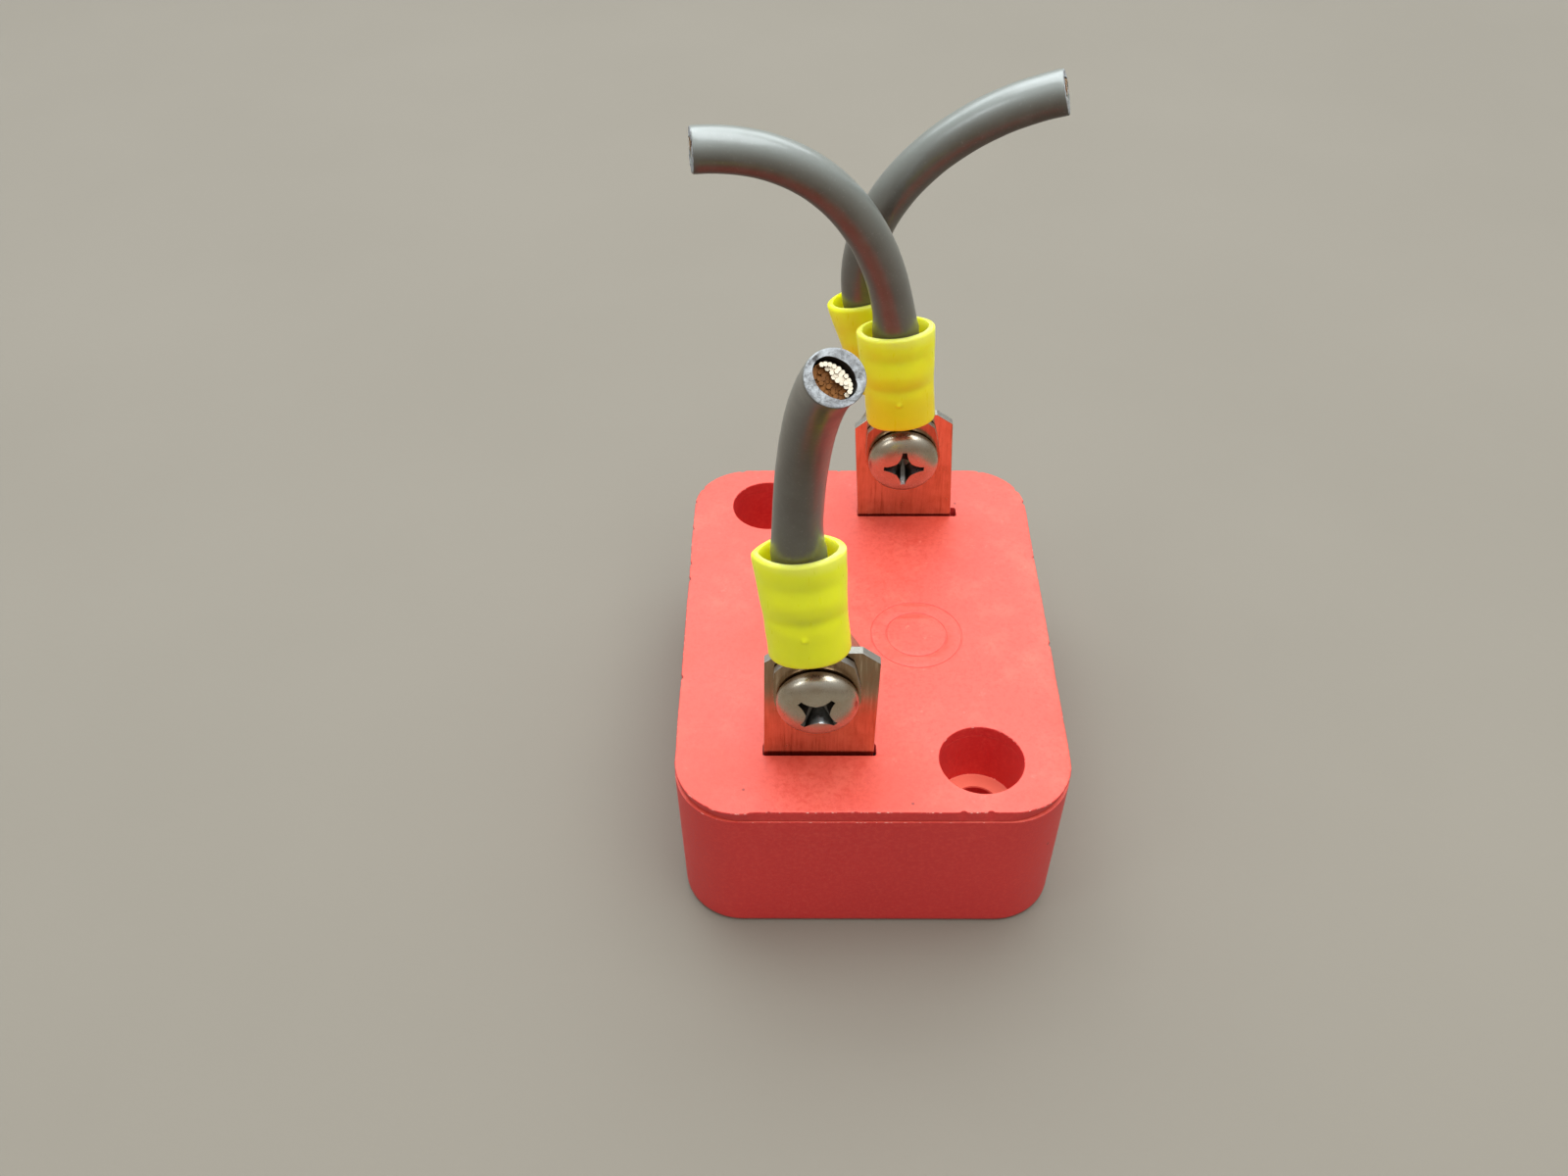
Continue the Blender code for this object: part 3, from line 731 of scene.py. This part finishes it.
def make_tab(end, tab, side, tin):
    """A stamped strip: foot, bend, and an upright tab with cut corners and a clearance hole."""
    node = f"{end}_terminal"
    x, y, lean = tab
    pivot = Vector((x, 0, (LID_LOW.z + LID_HIGH.z) / 2))
    top = LID_TOP + TAB_RISE
    half = TAB_W / 2
    around = ((-1, 1), (0, 1), (1, 1), (1, -1), (0, -1), (-1, -1))
    rings = []
    for middle, out in tab_stations(side, y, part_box(node)[0].z, pivot.z):
        ring = []
        for across, face in around:
            ring.append(middle + Vector((x + across * half, 0, 0)) + out * (face * TAB_T / 2))
        rings.append(ring)
    bm = bmesh.new()
    rows = add_rows(bm, rings)
    bm.faces.new(rows[0])

    def upright(across, z, face):
        """A point on the leaning upright part: across, height, and which face."""
        point = Matrix.Rotation(-lean, 3, "Y") @ Vector((across, 0, z - pivot.z)) + pivot
        return bm.verts.new((point.x, y + face * side * TAB_T / 2, point.z))

    hole_x, _, hole_z = JOINTS[f"{end}_screw_turn"]["pos_m"]
    hole = Matrix.Rotation(lean, 3, "Y") @ (Vector((hole_x, 0, hole_z)) - pivot)
    half_round = 12
    shoulder = top - TAB_CHAMFER_H
    crown = half - TAB_CHAMFER_W
    outlines = []
    rims = []
    for face in (1, -1):
        left, middle, right = rows[-1][0:3] if face == 1 else rows[-1][3:6][::-1]
        right_edge = [upright(half, shoulder, face), upright(crown, top, face)]
        left_edge = [upright(-crown, top, face), upright(-half, shoulder, face)]
        peak = upright(hole.x, top, face)
        rim = []
        for angle in angles_round(2 * half_round):
            across = hole.x + TAB_HOLE_R * math.sin(angle)
            rim.append(upright(across, pivot.z + hole.z - TAB_HOLE_R * math.cos(angle), face))
        bm.faces.new([middle, right, *right_edge, peak, *rim[half_round::-1]])
        bm.faces.new([middle, rim[0], *rim[:half_round - 1:-1], peak, *left_edge, left])
        outlines.append([right, *right_edge, peak, *left_edge, left])
        rims.append(rim)
    join_rows(bm, outlines, 1, closed=False)
    join_rows(bm, rims, 1)
    piece = add_piece(f"{end}_tab", bm, "housing", node, [tin, "sheared"])
    round_edges(piece, 0.09 * MM)


# ---- fasteners


def axis_place(end, seat_y):
    """A frame on a screw's axis whose +Z points out of the front, with its origin at seat_y."""
    x, _, z = JOINTS[f"{end}_screw_turn"]["pos_m"]
    return Matrix.Translation((x, seat_y, z)) @ Matrix.Rotation(math.radians(90), 4, "X")


def thread(z, angle):
    """0 in a thread's root, 1 on its crest, at a height and an angle."""
    turn = (z / PITCH - angle / math.tau) % 1.0
    return min(1.0, 2.4 * min(turn, 1 - turn))


def screw_profile():
    """Heights and radii from tip to crown. The threaded shank has no radius of its own."""
    rings = [(SCREW_L * (share - 1), None) for share in shares(round(SCREW_L / PITCH * 9))]
    rings += [(0.0, SCREW_R + 0.1 * MM), (0.0, HEAD_R - 0.25 * MM)]
    rings += [(0.07 * MM, HEAD_R - 0.07 * MM), (0.25 * MM, HEAD_R)]
    side = 0.3 * MM
    for share in shares(30)[:-1]:
        angle = math.pi / 2 * share
        z = lerp(side, HEAD_H, math.sin(angle) ** 0.82)
        rings.append((z, HEAD_R * math.cos(angle) ** 0.76))
    return rings


def recess_section(sizes):
    """A cross with flared inner corners."""
    reach, core, tip, height = [size * MM for size in sizes]
    curve = (core - tip) / (reach - core) ** 2
    quarter = []
    for share in shares(6):
        x = lerp(reach, core, share)
        quarter.append((x, tip + curve * (reach - x) ** 2))
    arm = [(x, -y) for x, y in quarter[::-1]] + quarter[:-1]
    points = []
    for k in range(4):
        turn = Matrix.Rotation(math.pi / 2 * k, 3, "Z")
        points += [turn @ Vector((x, y, HEAD_H + height)) for x, y in arm]
    return points


def make_screw(end, recess_turn):
    node = f"{end}_screw"
    place = axis_place(end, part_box(node)[1].y - SCREW_L)
    rings = []
    for z, radius in screw_profile():
        ring = []
        for angle in angles_round(80):
            r = radius
            if r is None:
                fade = smoothstep(-0.3 * MM, -1.1 * MM, z)
                r = SCREW_R - THREAD_DEPTH * (1 - thread(z, angle)) * fade
                r = min(r, SCREW_R - 0.55 * MM + (z + SCREW_L) * 0.9)
            ring.append(polar(r, angle, z))
        rings.append(ring)
    bm = bmesh.new()
    rows = add_rows(bm, rings)
    bm.faces.new(rows[0])
    add_fan(bm, rows[-1], (0, 0, HEAD_H))
    name = f"{end}_pan_head_screw"
    screw = add_piece(name, bm, node, node, ["zinc", "recess"], place)
    tool = bmesh.new()
    rows = add_rows(tool, [recess_section(sizes) for sizes in RECESS])
    tool.faces.new(rows[0])
    add_fan(tool, rows[-1], (0, 0, HEAD_H - RECESS_DEPTH))
    for face in tool.faces:
        face.material_index = 1
    cut(screw, tool, place @ Matrix.Rotation(math.radians(recess_turn), 4, "Z"))


def hexagon_radius(angle):
    """The radius of a hexagon with slightly rounded corners, one of them at 0 degrees."""
    rounding = 0.25 * MM
    half = math.radians(30)
    off = abs(angle % (2 * half) - half)
    flat = NUT_FLATS / 2
    inner = flat - rounding
    if off <= math.atan2(inner * math.tan(half), flat):
        return flat / math.cos(off)
    corner = inner / math.cos(half)
    away = half - off
    return corner * math.cos(away) + math.sqrt(rounding**2 - (corner * math.sin(away)) ** 2)


def make_nut(end):
    """A hex nut: corners chamfered on both faces, and a bore with a thread and two lead-ins."""
    node = f"{end}_nut"
    place = axis_place(end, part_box(node)[0].y)
    sides = 96
    angles = angles_round(sides)
    chamfer_r = NUT_FLATS / 2 * 0.97
    mouth_r = NUT_BORE_R + NUT_THREAD_DEPTH

    def hexagon(z, inwards):
        ring = []
        for angle in angles:
            radius = hexagon_radius(angle)
            chamfer = max(0.0, radius - chamfer_r) * math.tan(math.radians(30))
            ring.append(polar(radius, angle, z + inwards * chamfer))
        return ring

    rings = [circle(mouth_r, 0.0, sides), circle(chamfer_r, 0.0, sides), hexagon(0.0, -1)]
    rings += [hexagon(-NUT_T, 1), circle(chamfer_r, -NUT_T, sides), circle(mouth_r, -NUT_T, sides)]
    for share in shares(round(NUT_T / PITCH * 8)):
        z = NUT_T * (share - 1)
        bell = NUT_THREAD_DEPTH - min(NUT_T + z, -z)
        roots = [NUT_THREAD_DEPTH * (1 - thread(z, angle)) for angle in angles]
        rings.append([polar(NUT_BORE_R + max(bell, r), a, z) for a, r in zip(angles, roots)])
    bm = bmesh.new()
    add_rows(bm, rings, wrap=True)
    add_piece(f"{end}_hex_nut", bm, node, node, ["zinc"], place, 25)


def make_split_washer(end):
    """A spring washer: square wire in one turn, its cut ends sprung slightly apart."""
    node = f"{end}_lock_washer"
    place = axis_place(end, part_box(node)[0].y)
    middle = (WASHER_R + WASHER_BORE_R) / 2
    half_w = (WASHER_R - WASHER_BORE_R) / 2
    half_t = WASHER_T / 2
    ease = 0.12 * MM
    spring = 0.09 * MM
    section = [corner for corner, out in rounded_rectangle(half_w, half_t, ease, 1)]
    rings = []
    for share in shares(80):
        angle = WASHER_SPLIT_AT + WASHER_SPLIT / 2 + (math.tau - WASHER_SPLIT) * share
        lift = -half_t + spring * (2 * share - 1)
        rings.append([polar(middle + corner.x, angle, corner.y + lift) for corner in section])
    bm = bmesh.new()
    add_rows(bm, rings, cap=True)
    piece = f"{end}_split_washer"
    add_piece(piece, bm, f"{end}_nut", node, ["zinc"], place, 25)


# ---- lugs, sleeves and wires


def lug_place(group, lean_left, faces_front):
    """A frame on the ring's centre: +Y up the lug, +Z off the tab that the ring lies on."""
    low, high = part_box(f"{group}_lug")
    along = Vector((-math.sin(lean_left), 0, math.cos(lean_left)))
    off = Vector((0, -1 if faces_front else 1, 0))
    axes = Matrix((along.cross(off), along, off)).transposed()
    x, _, z = JOINTS[f"{group}_lug_swivel"]["pos_m"]
    return Matrix.Translation((x, high.y if faces_front else low.y, z)) @ axes.to_4x4()


def tongue_half_width(y):
    if y < 0:
        return math.sqrt(max(0.0, RING_R**2 - y * y))
    shoulder = lerp(RING_R, SHOULDER_HALF_W, smoothstep(0.0, SHOULDER_Y, y))
    return lerp(shoulder, NECK_HALF_W, smoothstep(*NECK_Y, y))


def make_lug(group, place, lean_back, barrel_start):
    """One stamped sheet: a ring, a neck, and a barrel rolled up until its edges meet."""
    neck = 8
    full = 24
    seam = math.radians(2.5)
    ring = [-RING_R * math.cos(math.radians(a)) for a in range(5, 90, 7)]
    shoulder = [SHOULDER_Y * share for share in shares(4)]
    bend = [lerp(SHOULDER_Y, barrel_start, share) for share in shares(10)[1:]]
    rolled = [lerp(barrel_start, BARREL_END, share) for share in shares(12)[1:]]
    foot = Vector((0, BARREL_FOOT, BARREL_RISE))
    bm = bmesh.new()
    sheet = []
    for y in ring + shoulder + bend + rolled:
        half_width = tongue_half_width(y)
        roll = smoothstep(ROLL_START, barrel_start, y)
        tilt = Matrix.Rotation(-lean_back * roll, 3, "X")
        row = {}
        count = full if y >= barrel_start - 0.001 * MM else neck
        for j in range(-count, count + 1):
            angle = (math.pi - seam) * j / full
            x = lerp(half_width * j / neck, BARREL_MIDDLE[0] * math.sin(angle), roll)
            z = lerp(SHEET_MIDDLE, BARREL_RISE - BARREL_MIDDLE[1] * math.cos(angle), roll)
            row[j] = bm.verts.new(foot + tilt @ (Vector((x, y, z)) - foot))
        sheet.append(row)
    for low, high in zip(sheet, sheet[1:]):
        for j in sorted(set(low) & set(high))[:-1]:
            bm.faces.new((low[j], low[j + 1], high[j + 1], high[j]))
    body = f"{group}_lug"
    finishes = ["top_browned", "sheared"]
    lug = add_piece(f"{group}_ring_lug", bm, body, body, finishes, place, 60)
    step = lug.modifiers.new("sheet", "SOLIDIFY")
    step.thickness = SHEET_T
    step.offset = 0.0
    step.use_even_offset = True
    step.material_offset_rim = 1
    hole = bmesh.new()
    add_rows(hole, [circle(RING_HOLE_R, z, 40) for z in (-2 * MM, 2 * MM)], cap=True)
    cut(lug, hole, place)
    round_edges(lug, 0.07 * MM)


def sleeve_ring(half_x, half_z, pinch, y, shape=None):
    """An oval across the sleeve. pinch above 1 draws its two ends out to points."""
    ring = []
    for angle in angles_round(144):
        sine = math.sin(angle)
        x = half_x * math.cos(angle)
        leftward = (1 - math.cos(angle)) / 2
        power = lerp(1.0, pinch, 0.35 + 0.65 * leftward)
        z = math.copysign(half_z * abs(sine) ** power, sine)
        point = Vector((x, y, BARREL_RISE + z))
        if shape:
            out = Vector((math.cos(angle) / half_x, 0, sine / half_z)).normalized()
            point += out * shape(angle, point)
        ring.append(point)
    return ring


def tuck(distance, radius):
    """How far in a rounded edge's surface is, at a distance from the end."""
    return radius - math.sqrt(radius**2 - max(0.0, radius - distance) ** 2)


def make_sleeve(group, place, start, mouth_pinch, seed, nylon):
    """A pushed-on nylon sleeve: rounded foot, two crimp dents, a gate nipple and a pinched mouth."""
    shift = Vector((seed * 11.0, 0, 0))

    def relief(angle, point):
        share = (point.y - start) / SLEEVE_L
        height = 0.06 * noise.noise(point / MM * 0.45 + shift)
        for high, middle, width in SLEEVE_BANDS:
            band = math.exp(-(((share - middle) / width) ** 2))
            height += high * band * abs(math.sin(angle)) ** 1.5
        if point.z > BARREL_RISE:
            away = Vector((point.x + 0.2 * MM, point.y - start - 0.31 * SLEEVE_L)) / MM
            height += 0.26 * math.exp(-((away.length / 0.3) ** 4))
        return height * MM

    def section(share, foot, mouth, widen_from, grow, pinch, shape=None):
        """A ring of the skin or the bore, at a share of the way from the foot to the mouth."""
        widen = smoothstep(widen_from, 1.0, share)
        half_x = lerp(foot[0], mouth[0], widen) + grow
        half_z = lerp(foot[1], mouth[1], widen) + grow
        pinch = lerp(SLEEVE_FOOT_PINCH, pinch, smoothstep(0.45, 1.0, share))
        return sleeve_ring(half_x, half_z, pinch, start + share * SLEEVE_L, shape)

    rings = []
    for share in shares(72):
        grow = -tuck(share * SLEEVE_L, SLEEVE_FOOT_ROUND)
        grow -= tuck((1 - share) * SLEEVE_L, SLEEVE_LIP_ROUND)
        rings.append(section(share, SLEEVE_FOOT, SLEEVE_MOUTH, 0.3, grow, mouth_pinch, relief))
    for share in shares(24)[::-1]:
        grow = 0.12 * MM * smoothstep(0.97, 1.0, share)
        pinch = 0.96 * mouth_pinch
        rings.append(section(share, SLEEVE_FOOT_BORE, SLEEVE_MOUTH_BORE, 0.5, grow, pinch))
    bm = bmesh.new()
    add_rows(bm, rings, wrap=True)
    name = f"{group}_nylon_sleeve"
    add_piece(name, bm, f"{group}_lug", f"{group}_sleeve", [nylon], place, 50)


# A place along a wire: its middle, two cross directions, the way on, and the distance left.
Station = namedtuple("Station", "point side other along left")


class Wire:
    """A wire's middle line in its lug's frame: straight in the sleeve, then one curve to its end."""

    def __init__(self, place, mouth, lead, bend, end, end_up):
        to_local = place.inverted()
        self.curve = (
            Vector((0, mouth, BARREL_RISE)),
            Vector((0, mouth + lead, BARREL_RISE)),
            to_local @ above_lid(bend),
            to_local @ above_lid(end),
        )
        self.end_up = to_local.to_3x3() @ Vector(end_up)
        path = interpolate_bezier(*self.curve, 51)
        self.length = sum((b - a).length for a, b in zip(path, path[1:]))

    def stations(self, start, straight_steps, curve_steps):
        """Places from a start in the sleeve to the cut end."""
        first = Vector((0, start, BARREL_RISE))
        path = [first.lerp(self.curve[0], share) for share in shares(straight_steps)[:-1]]
        path += interpolate_bezier(*self.curve, curve_steps + 1)
        lengths = [(b - a).length for a, b in zip(path, path[1:])] + [0.0]
        side = Vector((1, 0, 0))
        result = []
        for i, point in enumerate(path):
            ahead = path[min(i + 1, len(path) - 1)]
            behind = path[max(i - 1, 0)]
            along = (ahead - behind).normalized()
            side = (side - along * side.dot(along)).normalized()
            result.append(Station(point, side, along.cross(side), along, sum(lengths[i:])))
        return result

    def end_axes(self, station):
        """The squashed bore's two axes at a station: the long one, and the short one."""
        along = station.along
        short = (self.end_up - along * self.end_up.dot(along)).normalized()
        return short.cross(along), short


def above_lid(place):
    """A point given in millimetres, with its height above the lid."""
    return Vector(place) * MM + Vector((0, 0, LID_TOP))


def near_cut(squash, left):
    """How far the wire is squashed, at a distance from its cut end."""
    return squash * smoothstep(5 * MM, 0.5 * MM, left)


def bore_ring(wire, station, squash, angles):
    """The jacket's bore, which is flattened towards the cut end."""
    long_axis, short_axis = wire.end_axes(station)
    near = near_cut(squash, station.left)
    long_axis *= lerp(JACKET_BORE_R, CUT_BORE[0], near)
    short_axis *= lerp(JACKET_BORE_R, CUT_BORE[1], near)
    return [station.point + long_axis * math.cos(a) + short_axis * math.sin(a) for a in angles]


def make_jacket(group, place, wire, squash):
    sides = 64
    angles = angles_round(sides)
    stations = wire.stations(JACKET_START, 8, 72)

    def skin_ring(station, inset, lift=0.0):
        """The skin: wider and thinner where the sleeve grips it, and wider at the cut."""
        point, side, other, along, left = station
        long_axis, short_axis = wire.end_axes(station)
        squeeze = math.exp(-max(0.0, wire.length - left) / SQUEEZE_REACH)
        flare = squash * math.exp(-left / CUT_FLARE_REACH)
        widen = (1 + 0.15 * squeeze) * (1 + 0.07 * flare) - 1
        ring = []
        for a in angles:
            out = long_axis * math.cos(a) + short_axis * math.sin(a)
            out += side * (out.dot(side) * widen) - other * (out.dot(other) * 0.11 * squeeze)
            lump = 0.025 * MM * noise.noise((point + out * MM) / MM * 0.35)
            ring.append(point + out * (JACKET_R - inset + lump) + along * lift)
        return ring

    rings = [skin_ring(stations[0], 0.3 * MM)] + [skin_ring(s, 0.0) for s in stations[:-1]]
    last = stations[-1]
    rings += [skin_ring(last, 0.02 * MM, -0.16 * MM), skin_ring(last, 0.06 * MM, -0.05 * MM)]
    cut_from = len(rings) - 1
    rim = skin_ring(last, 0.17 * MM)
    mouth = bore_ring(wire, last, squash, angles)
    cut_steps = 5
    for share in shares(cut_steps):
        ring = []
        for angle, outer, inner in zip(angles, rim, mouth):
            point = outer.lerp(inner, share)
            rough = 0.14 * noise.noise(point / MM * 1.3) + 0.07 * noise.noise(point / MM * 3.5)
            nick = 0.0
            for turn, wide, deep in CUT_NICKS:
                away = abs((angle - math.radians(turn) + math.pi) % math.tau - math.pi)
                nick += deep * math.exp(-((away / wide) ** 2)) * smoothstep(0.0, 0.5, share)
            ring.append(point + last.along * ((rough - nick * squash) * MM))
        rings.append(ring)
    rings += [bore_ring(wire, s, squash, angles) for s in reversed(stations[:-1])]
    bm = bmesh.new()
    add_rows(bm, rings, wrap=True)
    bm.faces.ensure_lookup_table()
    for i in range(cut_from * sides, (cut_from + cut_steps + 1) * sides):
        bm.faces[i].material_index = 1
    name = f"{group}_wire_jacket"
    finishes = ["pvc", "cut_pvc"]
    add_piece(name, bm, f"{group}_lug", f"{group}_jacket", finishes, place, 60)


def strand_layout():
    """Strands packed in rings round a middle one: distance in strand radii, and angle."""
    places = [(0, 0.0)]
    for layer in range(1, STRAND_LAYERS + 1):
        for k in range(6 * layer):
            places.append((2 * layer, math.tau * (k / (6 * layer) + 0.13 * layer)))
    return places


def make_strands(group, place, wire, squash, seed):
    """The twisted strands, flattened to one side of the bore where the cutter pinched them."""
    dice = random.Random(seed)
    stations = wire.stations(CONDUCTOR_START, 10, 56)
    circuit = angles_round(6)
    bm = bmesh.new()
    for distance, angle in strand_layout():
        pushed = dice.uniform(-0.12, 0.1) * MM
        strand_r = STRAND_R * dice.uniform(0.98, 1.08)
        rings = []
        for station in stations:
            point, side, other, along, left = station
            x, y, _ = polar(distance * STRAND_R, angle + math.tau * left / STRAND_LAY)
            long_axis, short_axis = wire.end_axes(station)
            near = near_cut(squash, left)
            flat_x = x * lerp(1.0, 1.22, near)
            flat_y = y * lerp(1.0, 0.76, near) - 0.24 * MM * near
            middle = point + long_axis * flat_x + short_axis * flat_y
            if station is stations[-1]:
                ragged = dice.uniform(-0.16, 0.16) * MM
                dropped = smoothstep(0.0, -0.2 * MM, flat_y + 0.12 * flat_x + ragged) * squash
                middle += along * (pushed - 0.55 * MM * dropped)
            r = strand_r * lerp(1.0, 1.26, near)
            rings.append([middle + (side * math.cos(a) + other * math.sin(a)) * r for a in circuit])
        rows = add_rows(bm, rings)
        bm.faces.new(rows[0][::-1]).material_index = 1
        bm.faces.new(rows[-1]).material_index = 0 if dropped > 0.5 else 1
    name = f"{group}_wire_strands"
    finishes = ["copper", "cut_copper"]
    add_piece(name, bm, f"{group}_lug", f"{group}_conductor", finishes, place, 40)


def leaned_back(place, lean_back):
    """A lug's frame for all that's above its neck: tilted back about the barrel's foot."""
    foot = Matrix.Translation((0, BARREL_FOOT, BARREL_RISE))
    return place @ foot @ Matrix.Rotation(-lean_back, 4, "X") @ foot.inverted()


def make_wired_lug(group, leans, faces_front, sleeve_start, pinch, squash, wire_shape, nylon):
    """A crimped wire end. leans are in degrees: to the left, and back."""
    lean_left, lean_back = map(math.radians, leans)
    place = lug_place(group, lean_left, faces_front)
    upper = leaned_back(place, lean_back)
    wire = Wire(upper, sleeve_start + SLEEVE_L, *wire_shape)
    seed = len(group)
    make_lug(group, place, lean_back, sleeve_start + BARREL_TUCK)
    make_sleeve(group, upper, sleeve_start, pinch, seed, nylon)
    make_jacket(group, upper, wire, squash)
    make_strands(group, upper, wire, squash, seed)


# ---- stage


def add_area_light(name, place, width, depth, power, colour):
    """A soft panel that faces the part."""
    data = bpy.data.lights.new(name, "AREA")
    data.shape = "RECTANGLE"
    data.size = width
    data.size_y = depth
    data.energy = power
    data.color = colour
    light = add_object(name, data)
    light.location = place
    away = Vector(place) - Vector((0.0, 0.0, 30 * MM))
    light.rotation_euler = away.to_track_quat("Z", "Y").to_euler()
    return light


def add_floor():
    half = 2.0
    bm = bmesh.new()
    fill_flat(bm, [[bm.verts.new(p) for p in circle(half, -0.05 * MM, 64)]])
    floor = add_object("floor", mesh_of("floor", bm))
    floor.data.materials.append(pale_floor())


def add_lighting():
    """A soft room: dim and warm at the horizon, bright and cool overhead, lit from behind."""
    world = bpy.data.worlds.new("soft_room")
    world.use_nodes = True
    tree = world.node_tree
    direction = tree.nodes.new("ShaderNodeTexCoord").outputs["Generated"]
    split = tree.nodes.new("ShaderNodeSeparateXYZ")
    tree.links.new(direction, split.inputs[0])
    ramp = tree.nodes.new("ShaderNodeValToRGB")
    tree.links.new(split.outputs["Z"], ramp.inputs["Fac"])
    horizon, overhead = ramp.color_ramp.elements
    horizon.position = 0.05
    horizon.color = (0.30, 0.26, 0.21, 1.0)
    overhead.position = 0.8
    overhead.color = (0.62, 0.66, 0.68, 1.0)
    tree.links.new(ramp.outputs["Color"], tree.nodes["Background"].inputs["Color"])
    bpy.context.scene.world = world
    cool = (0.90, 0.97, 1.0)
    add_area_light("ceiling", (0.05, 0.12, 0.8), 1.1, 0.6, 8.9, cool)
    add_area_light("window", (-0.05, 0.62, 0.66), 1.7, 0.4, 6.8, cool)
    add_area_light("side_window", (-0.68, -0.34, 0.66), 0.24, 0.28, 1.0, cool)
    fill = add_area_light("front_fill", (0.1, -0.45, 0.8), 0.9, 0.4, 3.2, (1.0, 0.96, 0.9))
    fill.visible_glossy = False


def add_camera():
    data = bpy.data.cameras.new("camera")
    data.lens = 32.07
    data.sensor_width = 36.0
    data.clip_start = 1 * MM
    data.clip_end = 20.0
    camera = add_object("camera", data)
    look_down = math.radians(43.922)
    yaw = Matrix.Rotation(math.radians(0.746), 4, "Z")
    tilt = Matrix.Rotation(math.radians(90) - look_down, 4, "X")
    roll = Matrix.Rotation(math.radians(-0.543), 4, "Z")
    place = Matrix.Translation((-8.541 * MM, -122.906 * MM, 145.757 * MM))
    camera.matrix_world = place @ yaw @ tilt @ roll
    bpy.context.scene.camera = camera


def set_view():
    view = bpy.context.scene.view_settings
    view.view_transform = "Standard"
    view.look = "None"
    view.exposure = 0.0


# ---- the object

MATERIALS = {
    "red": red_plastic(),
    "tin": tin_plate("tin_plate", 0.0),
    "top_browned": tin_plate("top_browned_tin", 0.85),
    "sheared": sheared_edge(),
    "zinc": zinc_steel(),
    "recess": driven_recess(),
    "pvc": grey_pvc(),
    "cut_pvc": cut_pvc(),
    "copper": copper(),
    "cut_copper": cut_copper(),
    "lemon": yellow_nylon("lemon_nylon", (0.93, 0.90, 0.012), (0.90, 0.97, 0.02), 55.3 * MM),
    "golden": yellow_nylon("golden_nylon", (0.84, 0.66, 0.008), (0.90, 0.94, 0.02), 53.6 * MM),
}
INSIDE = {
    "potting_compound": cast_solid("potting", (0.045, 0.045, 0.05), (0.08, 0.08, 0.085), 0.6),
    "varistor_disc": cast_solid("ceramic", (0.06, 0.055, 0.05), (0.12, 0.11, 0.1), 0.5),
    "disc_collar": cast_solid("collar", (0.62, 0.6, 0.52), (0.5, 0.47, 0.4), 0.5),
    "upper_electrode": MATERIALS["tin"],
    "lower_electrode": MATERIALS["tin"],
}

for node, material in INSIDE.items():
    frame["nodes"][node].data.materials.clear()
    frame["nodes"][node].data.materials.append(material)

make_cup()
make_lid()
make_tab("front", FRONT_TAB, -1, "top_browned")
make_tab("rear", REAR_TAB, 1, "tin")
for end, recess_turn in (("front", 50), ("rear", 0)):
    make_screw(end, recess_turn)
    make_nut(end)
    make_split_washer(end)

# Wires: the straight lead out of the sleeve, the curve's handle and end in millimetres with
# heights above the lid, and the direction in which the cut end is squashed.
FRONT_WIRE = (3.2 * MM, (-8.2, -24.0, 51.3), (-5.6, -33.8, 60.8), (0.62, 0.5, 0.6))
REAR_LEFT_WIRE = (7.8 * MM, (-2.5, 13.4, 57.4), (-19.4, 10.8, 57.4), (0.0, 0.3, 1.0))
REAR_RIGHT_WIRE = (9.5 * MM, (5.5, 23.0, 54.7), (20.2, 20.9, 58.8), (0.0, -0.3, 1.0))
make_wired_lug("front", (5.2, 4.0), True, 9.8 * MM, 1.4, 1.0, FRONT_WIRE, "lemon")
make_wired_lug("rear_left", (5.7, 0.0), True, 8.3 * MM, 1.08, 0.35, REAR_LEFT_WIRE, "golden")
make_wired_lug("rear_right", (14.9, 0.0), False, 8.3 * MM, 1.08, 0.35, REAR_RIGHT_WIRE, "golden")

add_floor()
add_lighting()
add_camera()
set_view()
